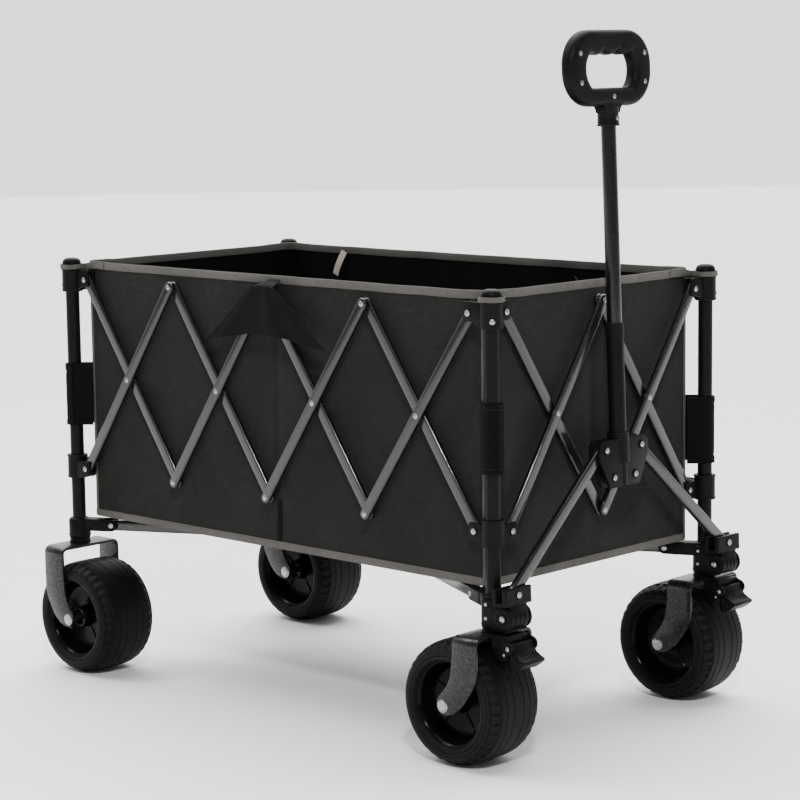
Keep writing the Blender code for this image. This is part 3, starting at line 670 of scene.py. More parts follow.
def bottom_bracket(corner):
    """The socket under a post, its floor bar clevis and, in front, the handle's pivot plates."""
    front = CORNERS[corner][0] > 0
    at = post_axis(corner)
    f, g = (at, X, Y, Z), slant_frame(corner)
    low, high = (0.1985, 0.246) if front else (0.2126, 0.246)
    s = Shape()
    s.add(lathe([(0, low), (0.0163, low), (0.0175, low + 0.0012), (0.0175, high - 0.005),
                 (0.0168, high - 0.003), (0.015, high - 0.001), (0.0135, high), (0, high)], f, 48),
          NYLON)
    s.add(tube(0.0183, 0.0165, low + 0.004, low + 0.0068, f, 48, 0.0008), NYLON)
    s.add(prism(rounded(0.004, FLOOR_ARM - 0.0115, -0.0114, 0.0114, 0.002), 0.2252, 0.2448, g, 0.0015, 3),
          NYLON)
    w = FLOOR_HALF + 0.0004
    for side in (1, -1):
        outline = ([(0.025, -0.0092), (0.03, -0.0092)] + arc(FLOOR_ARM, 0, 0.0092, -90, 90, 12)
                   + [(0.03, 0.0092), (0.025, 0.0092)])
        p = pin_frame(corner, 0)
        s.plate(outline, side, w, w + 0.0038, p, 0.001)
        screw(s, p[0] + p[1] * FLOOR_ARM + p[3] * side * (w + 0.0036), p[3] * side, 0.0044, 30, 0.7)
    if front:
        block = rounded(-0.002, 0.0163, -0.0176, 0.0176, 0.003)
        s.add(prism(block, 0.1995, 0.2338, f, 0.001), NYLON)
        p = (at + Z * PITCH_Z, X, Z, -Y)
        reach = PITCH_X - POST_X
        for side in (1, -1):
            outline = ([(-0.0032, -0.0112), (0.003, -0.015), (0.018, -0.0172)]
                       + arc(reach, 0, 0.0172, -84, 90, 20)
                       + [(0.025, 0.0182), (0.015, 0.0232), (-0.001, 0.024), (-0.0032, 0.0222)])
            s.plate(outline, side, 0.0174, 0.0214, p, 0.0009)
            base = at + Z * PITCH_Z - Y * side * 0.0212
            boss = lathe([(0.015, -0.0005), (0.015, 0.0004), (0.0142, 0.001), (0.0118, 0.001),
                          (0.0112, 0.0004), (0.007, 0.0004), (0.0062, 0.0018), (0, 0.0018)],
                         facing(base + X * reach, -side * Y), 40)
            s.add(boss, NYLON)
            screw(s, base + X * reach - Y * side * 0.0016, -side * Y, 0.0046, 40, 0.7)
            for dz in (0.0165, -0.0035):
                screw(s, base + X * 0.0034 + Z * dz, -side * Y, 0.0028, 15, 0.8)
        s.add(rod(0.004, -0.0172, 0.0172, (at + Vector((reach, 0, PITCH_Z)), X, Z, -Y)), STEEL)
    return s


def between(heights, values, h):
    """The value at height h of a curve given by its values at rising heights."""
    points = list(zip(heights, values))
    for (h0, t0), (h1, t1) in zip(points, points[1:]):
        if h <= h1:
            return t0 + (t1 - t0) * (h - h0) / (h1 - h0)
    return values[-1]


def fork(corner):
    """A flat strip bent into a U over the wheel, its arms curving back to the axle."""
    front = CORNERS[corner][0] > 0
    at = post_axis(corner)
    top = 0.193 if front else 0.205
    lead = TRAIL_FRONT if front else LEAD_REAR
    way = -X if front else X
    axle = at + X * lead + Z * WHEEL_R
    d = top - WHEEL_R
    # fore-and-aft edges of the strip at each height above the axle
    heights = (-0.0125, -0.011, -0.0075, -0.0025, 0.0, 0.006, 0.014, 0.019, 0.029, 0.0425,
               0.0575, 0.074, d)
    back = (-0.0058, -0.0138, -0.0219, -0.0275, -0.0311, -0.0375, -0.0438, -0.0473, -0.0542,
            -0.0611, -0.0625, -0.0628, -0.063)
    ahead = (0.0, 0.004, 0.008, 0.0105, 0.0112, 0.0112, 0.007, 0.0023, -0.007, -0.0135,
             -0.016, -0.0178, -0.0184)
    if not front:
        back, ahead = (tuple(u + 0.007 * min(1, max(0, h) / 0.05) for u, h in zip(edges, heights))
                       for edges in (back, ahead))
    bend, thick = 0.011, ARM_OUT - ARM_IN
    stations = []                # (y, height, outward normal in the y-z plane, strip height)
    for j in range(9):
        h = -0.0125 * cos(radians(90) * j / 8)
        stations.append((ARM_OUT, h, (1, 0), h))
    for j in range(1, 16):
        h = (d - bend) * j / 15
        stations.append((ARM_OUT, h, (1, 0), h))
    for j in range(1, 9):
        t = radians(90) * j / 8
        y, h = ARM_OUT - bend + bend * cos(t), d - bend + bend * sin(t)
        stations.append((y, h, (cos(t), sin(t)), d))
    for j in range(1, 6):
        stations.append(((ARM_OUT - bend) * (1 - j / 5), d, (0, 1), d))
    whole = stations + [(-y, h, (-n[0], n[1]), q) for y, h, n, q in stations[-2::-1]]
    rows = []
    for y, h, n, q in whole:
        e0, e1 = between(heights, back, q), between(heights, ahead, q)
        r = min(0.001, (e1 - e0) / 3)
        section = ((e0 + r, 0.0), (e1 - r, 0.0), (e1 - r * 0.3, r * 0.3), (e1, r), (e1, thick - r),
                   (e1 - r * 0.3, thick - r * 0.3), (e1 - r, thick), (e0 + r, thick),
                   (e0 + r * 0.3, thick - r * 0.3), (e0, thick - r), (e0, r), (e0 + r * 0.3, r * 0.3))
        rows.append([axle + way * u + Y * (y - n[0] * v) + Z * (h - n[1] * v) for u, v in section])
    s = Shape()
    s.add(grid(rows, closed_u=True, caps=True), FORK_COAT)
    f = (at, X, Y, Z)
    race_top = 0.198 if front else 0.2121
    s.add(lathe([(0, top - 0.004), (0.0172, top - 0.004), (0.0172, top + 0.0008), (0.016, race_top),
                 (0, race_top)], f, 48), NYLON)
    for side in (1, -1):
        out = side * Y
        face = facing(axle + Y * side * ARM_OUT, out)
        s.add(lathe([(0.0094, -0.0006), (0.0094, 0.0006), (0.0088, 0.001), (0, 0.001)], face, 36),
              STEEL)
        head = lathe([(0.0076, -0.0002), (0.0076, 0.0014), (0.0067, 0.0026), (0.0036, 0.0032),
                      (0, 0.0033)], face, 36)
        along = Vector((cos(0.5), 0, sin(0.5)))
        slot = prism([(-0.02, -0.0009), (0.02, -0.0009), (0.02, 0.0009), (-0.02, 0.0009)],
                     0.0014, 0.01, (face[0], along, out.cross(along), out))
        s.add(cut_mesh(head, slot), STEEL)
        spacer = lathe([(0, -0.003), (0.0095, -0.003), (0.0085, 0.0), (0, 0.0)],
                       facing(axle + Y * side * (ARM_IN + 0.0002), out), 28)
        s.add(spacer, NYLON)
    s.add(rod(0.0048, -0.056, 0.056, (axle, X, Z, -Y)), STEEL)
    if front:
        brake_housing(s, at)
    return s


def brake_housing(s, at):
    """Plastic body ahead of the fork bridge: a hood, two round cheeks and their rivets."""
    g = (at, X, Z, -Y)
    hood = [(0.016, 0.185), (0.02, 0.166), (0.0405, 0.164), (0.043, 0.1925), (0.016, 0.1925)]
    s.add(prism(hood, -0.0236, 0.0236, g, 0.0012), NYLON)
    pad = rounded(0.024, 0.041, -0.0215, 0.0215, 0.0015)
    s.add(prism(pad, 0.1915, 0.1936, (at, X, Y, Z), 0.0005, 2), FORK_COAT)
    for k in range(9):
        y = -0.018 + 0.0045 * k
        s.add(prism(rounded(0.025, 0.04, y - 0.0011, y + 0.0011, 0.0008), 0.193, 0.1942,
                    (at, X, Y, Z), 0.0004, 1), NYLON)
    for side in (1, -1):
        outline = ([(0.02, 0.185), (0.0235, 0.169), (0.03, 0.1622)]
                   + arc(0.035, 0.1742, 0.013, -110, -20, 8)
                   + arc(0.047, 0.179, 0.0098, -40, 80, 14) + [(0.04, 0.1925), (0.02, 0.1925)])
        s.plate(outline, side, 0.0236, 0.0276, g, 0.001)
        cover = arc(0.047, 0.179, 0.0076, -90, 90, 12) + arc(0.04, 0.1852, 0.0034, 90, 200, 6)
        s.plate(cover, side, 0.0272, 0.0282, g, 0.0003, 1)
        out = -side * Y
        for x, z, r in ((0.0485, 0.179, 0.0033), (0.042, 0.17, 0.0022)):
            screw(s, at + Vector((x, -side * 0.0279, z)), out, r, 30, 0.7)
        w = lathe([(0.0042, -0.0004), (0.0042, 0.0008), (0.003, 0.0008), (0.0026, 0.0002), (0, 0.0002)],
                  facing(at + Vector((0.03, -side * 0.0275, 0.1745)), out), 24)
        s.add(w, NYLON)


def pedal(corner):
    """The foot brake: a hooked nylon lever with raised treads."""
    g = (post_axis(corner), X, Z, -Y)
    s = Shape()
    body = (arc(0.0485, 0.179, 0.0066, 60, 200, 10) + [(0.0456, 0.166), (0.0456, 0.157)]
            + arc(0.0504, 0.152, 0.005, 200, 290, 5)
            + [(0.058, 0.1478), (0.066, 0.1528)] + arc(0.0712, 0.1606, 0.0028, -60, 60, 4)
            + [(0.0665, 0.1656), (0.059, 0.1702), (0.0555, 0.176)])
    s.add(prism(body, -0.0228, 0.0228, g, 0.0011), NYLON)
    for k in range(7):
        y = -0.0186 + 0.0062 * k
        s.add(prism([(0.0585, 0.1694), (0.0716, 0.1614), (0.0724, 0.1622), (0.06, 0.1712)],
                    y - 0.0011, y + 0.0011, g, 0.0004, 1), NYLON)
    for x, z in ((0.052, 0.156), (0.06, 0.154)):
        for side in (1, -1):
            rib = rounded(x - 0.0016, x + 0.0016, z, z + 0.011, 0.0012, 3)
            s.plate(rib, side, 0.0224, 0.0234, g, 0.0003, 1)
    return s


# ---- wheels ----------------------------------------------------------------------------------
def wheel(corner):
    """A fat tyre with side lugs and tread grooves, on a rim with five ribs a side."""
    sx, sy = CORNERS[corner]
    lead = TRAIL_FRONT if sx > 0 else LEAD_REAR
    axle = Vector((sx * POST_X + lead, sy * POST_Y, WHEEL_R))
    s, half = Shape(), WHEEL_HALF
    # tyre section from the rim lip round the sidewall and over the tread, as (radius, inset from the
    # full half-width)
    side = [(0.0605, 0.0085), (0.0622, 0.004), (0.064, 0.0012),
            (0.0662, 0.0002), (0.0685, 0), (0.0692, 0.0008), (0.07, 0),
            (0.0722, 0.0001), (0.0745, 0.0006), (0.0752, 0.0015),
            (0.076, 0.0012), (0.0785, 0.0026), (0.08, 0.0036),
            (0.0806, 0.0046), (0.0813, 0.0046)]
    lugs = [(0.083, 0.0062), (0.0848, 0.0088), (0.0862, 0.0116),
            (0.0873, 0.0146), (0.088, 0.0168)]
    tread = [(0.0883, 0.0182), (0.0877, 0.0187), (0.0877, 0.0199),
             (0.0887, 0.0204), (0.0893, 0.025), (0.0896, 0.029),
             (0.089, 0.0295), (0.089, 0.0311), (0.0898, 0.0316),
             (0.0899, 0.037), (0.09, 0.042), (0.0893, 0.0425),
             (0.0893, 0.0443), (0.09, 0.0448), (0.09, 0.05)]
    profile = [(r, half - inset) for r, inset in side + lugs + tread]
    steps = 144                 # points round the tyre, four to each lug
    # how far the gaps between the lugs are cut into each row of the section
    cuts = [0.0] * (len(side) - 2) + [0.001, 0.0] + [0.0026] * len(lugs) + [0.0] * len(tread)
    full = [(r, h, c) for (r, h), c in zip(profile, cuts)]
    full += [(r, -h, c) for r, h, c in reversed(full)]
    full += [(0.059, -half + 0.0085, None), (0.059, half - 0.0085, None)]
    rows = []
    for r, h, c in full:
        row = []
        for k in range(steps):
            t = 2 * pi * (k + (0.5 if h < 0 and c is not None else 0)) / steps
            row.append(axle + (X * cos(t) + Z * sin(t)) * (r - c if c and k % 4 < 2 else r) - Y * h)
        rows.append(row)
    s.add(grid(rows, closed_u=True, closed_v=True), TYRE_RUBBER)
    # rim: a glossy barrel with a rolled lip, a deep dish, ribs and a hub boss, on both sides
    rim = [(0.0, 0.03), (0.009, 0.03), (0.0108, 0.0318), (0.0118, 0.034),
           (0.0128, 0.0372), (0.015, 0.0376), (0.0158, 0.035), (0.0164, 0.024), (0.0185, 0.02),
           (0.04, 0.018), (0.049, 0.0205), (0.0535, 0.027), (0.0555, 0.036), (0.0566, 0.042),
           (0.059, 0.0452), (0.0602, 0.0462), (0.0616, 0.046), (0.0622, 0.044), (0.061, 0.04),
           (0.0592, 0.038), (0.0592, 0.0), (0.0, 0.0)]
    rib = [(0.014, 0.015), (0.057, 0.015), (0.0562, 0.03), (0.052, 0.024),
           (0.042, 0.0202), (0.02, 0.0212), (0.015, 0.024)]
    for side_sign in (1, -1):
        out = -side_sign * Y
        s.add(lathe(rim, (axle, X, side_sign * Z, out), 72), RIM_GLOSS)
        for k in range(5):
            t = 2 * pi * (k + 0.15) / 5
            way = X * cos(t) + Z * sin(t)
            s.add(prism(rib, -0.0013, 0.0013, (axle, way, out, way.cross(out)), 0.0006, 1), RIM_GLOSS)
    return s


for corner, (sx, sy) in CORNERS.items():
    body = f"{corner}_corner"
    post(corner).make(f"{corner}_post_and_bracket", body, f"{corner}_post", slot="satin_coat")
    collar(corner).make(f"{corner}_collar", f"{corner}_sliding_collar", f"{corner}_sliding_collar",
                        slot="black_nylon")
    bottom_bracket(corner).make(f"{corner}_lower_bracket", body, f"{corner}_bottom_bracket",
                                slot="black_nylon")
    carrier = f"{corner}_caster" if sx > 0 else body
    fork(corner).make(f"{corner}_wheel_fork", carrier, f"{corner}_fork", slot="hammered_coat")
    wheel(corner).make(f"{corner}_tyre_and_rim", f"{corner}_wheel", f"{corner}_wheel",
                       slot="black_rubber", angle=30)
    if sx > 0:
        pedal(corner).make(f"{corner}_foot_brake", f"{corner}_brake_pedal", f"{corner}_brake_pedal",
                           slot="black_nylon")


# ---- bottom frame ----------------------------------------------------------------------------
for corner in CORNERS:
    f, n = pin_frame(corner, FLOOR_ARM), FLOOR_LONG
    s = Shape()
    s.add(prism(box_bar(0, n, FLOOR_HALF, 12), -FLOOR_HALF, FLOOR_HALF, f, 0.0022, 3), BAR_COAT)
    s.make(f"{corner}_floor_tube", f"{corner}_floor_bar", f"{corner}_floor_bar", slot="hammered_coat")


def floor_hub():
    """The plate that the four floor bars fold about; its cheeks stand at the first bar's pin."""
    x, y = HUB_X + 0.006, HUB_Y + 0.006
    low, high = FLOOR_Z + FLOOR_HALF + 0.001, FLOOR_Z + FLOOR_HALF + 0.007
    s = Shape()
    plate = [(x, -y + 0.015), (x, y - 0.015), (x - 0.02, y), (-x + 0.02, y), (-x, y - 0.015),
             (-x, -y + 0.015), (-x + 0.02, -y), (x - 0.02, -y)]
    s.add(prism(plate, low, high, WORLD, 0.0012), NYLON)
    f = pin_frame("rear_right", FLOOR_ARM + FLOOR_LONG)
    for side in (1, -1):
        cheek = [(-0.009, 0.012)] + arc(0, 0, 0.0085, 180, 360, 14) + [(0.009, 0.012)]
        s.plate(cheek, side, FLOOR_HALF + 0.0004, FLOOR_HALF + 0.0034, f, 0.0006, 1)
        screw(s, f[0] + f[3] * side * (FLOOR_HALF + 0.0033), side * f[3], 0.0044, 30, 0.6)
    s.add(rod(0.003, -0.0086, 0.0086, f, 16), STEEL)
    for px in (-0.055, 0.055):
        for py in (-0.035, 0.035):
            s.add(lathe([(0.0048, low - 0.0016), (0.0048, low + 0.0004), (0, low + 0.0004)],
                        (Vector((px, py, 0)), X, Y, Z), 20), STEEL)
    return s


floor_hub().make("floor_hub_plate", "floor_hub", "floor_hub", slot="black_nylon")


# ---- pull handle -----------------------------------------------------------------------------
UP = Vector((-sin(LEAN), 0, cos(LEAN)))
OUT = Vector((cos(LEAN), 0, sin(LEAN)))


def lean(y=0.0, u=0.0, n=0.0):
    """A point of the handle: y across, u up the tube from the pivot, n out of its face."""
    return Vector((PITCH_X, y, PITCH_Z)) + UP * u + OUT * n


def knuckle(sy):
    """The block on the handle's pivot that carries the foot of a yoke bar."""
    o = lean(sy * POST_Y)
    f, side = (o, Y, UP, OUT), (o, OUT, UP, Y)
    s = Shape()
    barrel = arc(0, 0, 0.0162, 180, 360, 24) + [(0.0118, 0.019), (-0.0118, 0.019)]
    s.add(prism(barrel, -0.0171, 0.0171, side, 0.001), NYLON)
    for y in (-0.0085, 0.0, 0.0085):
        rib = arc(0, 0, 0.0169, 300, 400, 16) + arc(0, 0, 0.015, 400, 300, 16)
        s.add(prism(rib, y - 0.0014, y + 0.0014, side, 0.0004, 1), NYLON)
    block = [(-0.012, 0.0182), (0.012, 0.0182), (0.012, 0.0425), (0.0054, 0.0425),
             (0.0054, 0.0229), (-0.0054, 0.0229), (-0.0054, 0.0425), (-0.012, 0.0425)]
    s.add(prism(block, -0.0275, 0.0275, side, 0.0011), NYLON)
    panel = rounded(-0.0255, 0.0255, 0.0205, 0.04, 0.0025)
    s.add(prism(panel, 0.0114, 0.0126, f, 0.0005, 1), NYLON)
    ring_pad = lathe([(0.0074, 0.0), (0.0074, 0.001), (0.0066, 0.0016), (0, 0.0016)],
                     (o + UP * YOKE_U + OUT * 0.012, Y, UP, OUT), 28)
    s.add(ring_pad, NYLON)
    screw(s, o + UP * YOKE_U + OUT * 0.0132, OUT, 0.0046, 55, 0.7)
    s.add(rod(0.003, -0.008, 0.008, (o + UP * YOKE_U, Y, UP, OUT), 16), STEEL)
    return s


def yoke_bar(sy):
    """The slanting box bar from a knuckle to the handle's hub."""
    low, high = Vector((sy * POST_Y, YOKE_U)), Vector((sy * HUB_PIN_Y, HUB_U))
    way = (high - low).normalized()
    b = (lean(low.x, low.y), Y * way.x + UP * way.y, Y * -way.y + UP * way.x, OUT)
    n = (high - low).length
    s = Shape()
    s.add(prism(box_bar(0, n, BAR_HALF, 12), -0.005, 0.005, b, 0.0024, 4), BAR_COAT)
    return s


def handle_hub():
    """Two shield-shaped plates round the outer tube, with the bars' screws."""
    f = (lean(), Y, UP, OUT)
    s = Shape()
    outline = [(-0.033, 0.151), (0.033, 0.151), (0.055, 0.195), (0.055, 0.214),
               (0.048, 0.221), (-0.048, 0.221), (-0.055, 0.214), (-0.055, 0.195)]
    up = (lean(), Y, -OUT, UP)
    for lo, hi in ((0.0054, 0.011), (-0.011, -0.0054)):
        s.add(cut_mesh(prism(outline, lo, hi, f, 0.0012), rod(0.0117, 0.1, 0.3, up, 40)), NYLON)
    for side in (1, -1):
        y0, y1 = sorted((side * 0.0122, side * 0.0172))
        s.add(prism(rounded(y0, y1, 0.152, 0.22, 0.0012), -0.0056, 0.0056, f), NYLON)
    s.add(tube(0.016, 0.012, 0.185, 0.229, up, 40, 0.0012), NYLON)
    s.add(tube(0.0125, 0.0114, 0.153, 0.385, up, 48, 0.0006), POST_COAT)
    s.add(tube(0.0131, 0.0113, 0.365, 0.387, up, 48, 0.0008), NYLON)
    for y, u in ((-HUB_PIN_Y, HUB_U), (HUB_PIN_Y, HUB_U), (-0.024, 0.166), (0.024, 0.166)):
        boss = lathe([(0.007, 0.0105), (0.007, 0.0118), (0.0062, 0.0122), (0, 0.0122)],
                     (lean(y, u), Y, UP, OUT), 28)
        s.add(boss, NYLON)
        screw(s, lean(y, u, 0.0118), OUT, 0.0044, 30, 0.5)
        back = lathe([(0.006, 0.0105), (0.006, 0.0116), (0, 0.0116)],
                     (lean(y, u), Y, -UP, -OUT), 24)
        s.add(back, NYLON)
        screw(s, lean(y, u, -0.0114), -OUT, 0.004, 30, 0.5)
    return s


def inner_tube():
    """The hammered upper tube that slides in the outer one."""
    up = (lean(), Y, -OUT, UP)
    s = Shape()
    s.add(tube(0.011, 0.0096, 0.345, 0.69, up, 48, 0.0006), TUBE_COAT)
    return s


def reach_of(outline, centre, t):
    """Distance from centre to a closed outline along the heading t."""
    cx, cy = centre
    dx, dy = cos(t), sin(t)
    best = None
    for (x0, y0), (x1, y1) in zip(outline, outline[1:] + outline[:1]):
        ex, ey = x1 - x0, y1 - y0
        det = dx * -ey + dy * ex
        if abs(det) < 1e-12:
            continue
        a = ((x0 - cx) * -ey + (y0 - cy) * ex) / det
        b = (dx * (y0 - cy) - dy * (x0 - cx)) / det
        if a > 0 and -1e-6 <= b <= 1 + 1e-6 and (best is None or a < best):
            best = a
    return best


def grip():
    """A rounded ring with finger hollows in its hole, on a flared neck with a collar."""
    s = Shape()
    low, top, centre = 0.6945, 0.802, (0.0, 0.748)
    outer = rounded(-0.0905, 0.0905, low, top, 0.049, 14)
    hole = arc(0.0228, 0.746, 0.0309, -55, 55, 14)
    for k in range(3):
        y = 0.027 - 0.027 * k
        hole += [(y + 0.0135 - 0.027 * j / 10, 0.7714 - 0.005 * sin(pi * j / 10)) for j in range(1, 10)]
        hole += [(y - 0.0135, 0.7718)] if k < 2 else []
    hole += arc(-0.0228, 0.746, 0.0309, 125, 235, 14)
    steps, thick, soft = 300, 0.0125, 0.0098
    rows = []
    for k in range(steps):
        t = 2 * pi * k / steps
        way = Vector((cos(t), sin(t)))
        a, b = reach_of(outer, centre, t), reach_of(hole, centre, t)
        section = [(a - soft + soft * sin(radians(15 * q)), thick - soft + soft * cos(radians(15 * q)))
                   for q in range(7)]
        section += [(r, -h) for r, h in reversed(section)]
        back = [(b + soft - soft * sin(radians(15 * q)), -thick + soft - soft * cos(radians(15 * q)))
                for q in range(7)]
        section += back + [(r, -h) for r, h in reversed(back)]
        rows.append([lean(way.x * r, centre[1] + way.y * r, h) for r, h in section])
    s.add(grid(rows, closed_u=True, closed_v=True), GRIP_SKIN)
    # neck, flaring into the ring
    f = (lean(), Y, UP, OUT)
    flare = [(0.015, 0.685), (0.016, 0.69), (0.02, 0.695), (0.028, 0.7), (0.036, 0.704)]
    neck = flare + [(-p, u) for p, u in reversed(flare)]
    s.add(prism(neck, -0.0112, 0.0112, f, 0.0022, 3), GRIP_SKIN)
    s.add(lathe([(0.0114, 0.6666), (0.0162, 0.6666), (0.0165, 0.6674), (0.0162, 0.6686), (0.0155, 0.6694),
                 (0.0152, 0.676), (0.0152, 0.694), (0.0114, 0.696)], (lean(), Y, -OUT, UP), 48, True),
          GRIP_SKIN)
    for y, u, r in ((0.0715, 0.769, 0.0032), (-0.0715, 0.769, 0.0032), (0.071, 0.728, 0.0032),
                    (-0.071, 0.728, 0.0032), (0.0, 0.708, 0.0032), (0.002, 0.6775, 0.003)):
        n = thick if u > 0.7 else 0.015
        for side in (1, -1):
            seat = lathe([(r + 0.0014, n - 0.001), (r + 0.0014, n + 0.0002), (r + 0.0006, n + 0.0005),
                          (0, n + 0.0005)], (lean(y, u), Y, side * UP, side * OUT), 24)
            s.add(seat, RECESS)
            screw(s, lean(y, u, side * (n + 0.0002)), side * OUT, r, 25, 0.6)
    return s


for sy, word in ((-1, "right"), (1, "left")):
    knuckle(sy).make(f"{word}_knuckle", f"{word}_handle_knuckle", f"{word}_handle_knuckle",
                     slot="black_nylon")
    yoke_bar(sy).make(f"{word}_yoke_tube", f"{word}_yoke_bar", f"{word}_yoke_bar", slot="hammered_coat")
handle_hub().make("hub_and_outer_tube", "handle_hub", "handle_hub_and_outer_tube", slot="black_nylon")
inner_tube().make("upper_handle_tube", "handle_top", "handle_inner_tube", slot="hammered_coat")
grip().make("handle_ring_grip", "handle_top", "handle_grip", slot="black_nylon")


# ---- fabric tub ------------------------------------------------------------------------------
def smooth(x):
    """An S-shaped step from 0 to 1."""
    x = max(0.0, min(1.0, x))
    return x * x * (3 - 2 * x)


def ripple(a, b, c, scale=1.0):
    """Smooth unevenness between about -1 and 1; c picks the pattern."""
    return noise(Vector((a * scale, b * scale, c)))


def wall_plan(side):
    """Dense plan points of one wall, from the middle of one cut corner to the middle of the next,
    walking anticlockwise; with the outward heading of each."""
    x, y, c = WALL_X, WALL_Y, CUT
    ends = {"right": [(-x + c / 2, -y + c / 2), (-x + c, -y), (x - c, -y), (x - c / 2, -y + c / 2)],
            "front": [(x - c / 2, -y + c / 2), (x, -y + c), (x, y - c), (x - c / 2, y - c / 2)],
            "left": [(x - c / 2, y - c / 2), (x - c, y), (-x + c, y), (-x + c / 2, y - c / 2)],
            "rear": [(-x + c / 2, y - c / 2), (-x, y - c), (-x, -y + c), (-x + c / 2, -y + c / 2)]}[side]
    points = []
    for (x0, y0), (x1, y1) in zip(ends, ends[1:]):
        n = max(2, round(hypot(x1 - x0, y1 - y0) / 0.0045))
        points += [Vector((x0 + (x1 - x0) * i / n, y0 + (y1 - y0) * i / n, 0)) for i in range(n)]
    points.append(Vector((*ends[-1], 0)))
    for _ in range(3):
        points = [points[0]] + [(points[i - 1] + 2 * points[i] + points[i + 1]) / 4
                                for i in range(1, len(points) - 1)] + [points[-1]]
    outs = []
    for i, p in enumerate(points):
        if i in (0, len(points) - 1):
            outs.append(Vector((1 if p.x > 0 else -1, 1 if p.y > 0 else -1, 0)).normalized())
        else:
            way = (points[i + 1] - points[i - 1]).normalized()
            outs.append(Vector((way.y, -way.x, 0)))
    return points, outs


def corner_gap(p):
    """How far along the wall a plan point lies from its nearest post axis."""
    return max(abs(abs(p.x) - POST_X), abs(abs(p.y) - POST_Y))


def rim_height(p):
    """Height of the rim, which lifts a little towards the posts."""
    gap = corner_gap(p)
    lift = smooth((0.08 - gap) / 0.05)
    return WALL_HIGH + 0.0013 * lift + 0.0006 * ripple(p.x, p.y, 1.0, 14)


WALL_SEED = {"right": 3.0, "left": 7.0, "front": 11.0, "rear": 15.0}
BULGE_IN, BULGE_OUT = -0.005, 0.0022      # the furthest the cloth stands in and out


def wall_bulge(side, p, z):
    """How far the cloth stands out from its flat plane."""
    top = rim_height(p)
    rise = sin(pi * max(0.0, min(1.0, (z - WALL_LOW) / (top - WALL_LOW)))) ** 0.8
    away = smooth((corner_gap(p) - 0.03) / 0.07)
    along = p.x if side in ("right", "left") else p.y
    seed = WALL_SEED[side]
    d = 0.0034 * ripple(along, z * 0.6, seed, 7.0) + 0.0016 * ripple(along + z * 0.5, z, seed + 1, 17.0)
    # faint tension folds that run in from the corners
    for sgn in (1, -1):
        reach = (POST_X if side in ("right", "left") else POST_Y) - sgn * along
        slope = reach * 0.62 - (z - WALL_LOW)
        d += 0.0008 * sin(slope * 150) * exp(-reach / 0.16) * 0.8
    if side == "front":
        d -= 0.003 * exp(-((along + 0.004) / 0.01) ** 2)
    if side in ("right", "left"):
        d -= 0.0016 * exp(-((along - 0.008) / 0.006) ** 2)
    return max(BULGE_IN, min(BULGE_OUT, d - 0.0008)) * rise * away


def wall_rows(side, count=34, low=WALL_LOW, short=0.0, off=0.0, pick=None):
    """Tables of points on a wall, from low up to short of the rim; off moves them out from the
    cloth's outer face, and pick chooses plan points."""
    points, outs = wall_plan(side)
    if pick:
        keep = [i for i, p in enumerate(points) if pick(p)]
        points, outs = [points[i] for i in keep], [outs[i] for i in keep]
    rows = []
    for k in range(count + 1):
        row = []
        for p, out in zip(points, outs):
            z = low + (rim_height(p) - short - low) * k / count
            row.append(p + out * (wall_bulge(side, p, z) + off) + Z * z)
        rows.append(row)
    return rows, points, outs


BODY_OF = {"right": "rear_right_corner", "left": "rear_left_corner", "front": "front_right_corner",
           "rear": "rear_right_corner"}


def crumple(obj):
    """Gives a piece of a wall a mesh of its own."""
    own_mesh(obj)


def u_tape(height, over, under):
    """Section of a binding folded over an edge, as (out, up) from the edge's outer face."""
    return [(0.0003, -height), (0.0013, -height + 0.0003), (0.0016, -height * 0.55),
            (0.0015, -0.0012), (0.001, over), (-0.0005, over + 0.0006), (-0.002, over),
            (-0.0025, -0.0012), (-0.0026, -under * 0.55), (-0.0022, -under + 0.0003),
            (-0.0012, -under)]


def bound_edge(s, path, outs, height, under, flip=1):
    """A binding along an edge, slightly uneven, with a row of stitches near its lower edge."""
    rows, seam, seam_in = [], [], []
    n = len(path)
    for i, p in enumerate(path):
        before, after = path[max(i - 1, 0)], path[min(i + 1, n - 1)]
        way = (after - before).normalized()
        out = outs[i]
        up = out.cross(way).normalized() * flip
        if up.z * flip < 0:
            up = -up
        h = height * (1 + 0.035 * ripple(p.x + p.z, p.y, 5.0, 30))
        fat = 1 + 0.25 * ripple(p.x, p.y + p.z, 9.0, 45)
        rows.append([p + out * (a * (fat if a > 0 else 1)) + up * b
                     for a, b in u_tape(h, 0.0008, under)])
        seam.append(p + out * 0.0015 - up * (h - 0.0024))
        seam_in.append(p - out * 0.0025 - up * (under - 0.0024))
    s.add(grid(rows, closed_u=True, caps=True), BINDING)
    s.stitches(seam, outs)
    s.stitches(seam_in, [-out for out in outs])
    return s


def seam_tape(side, end, off):
    """Table of points of one face of the upright tape at one end of a wall."""
    long_side = side in ("right", "left")
    edge = (WALL_X if long_side else WALL_Y) - CUT
    return wall_rows(side, 40, WALL_LOW + 0.006, 0.008, off,
                     lambda p: edge - 0.006 < (p.x if long_side else p.y) * end < edge + 0.0062)[0]


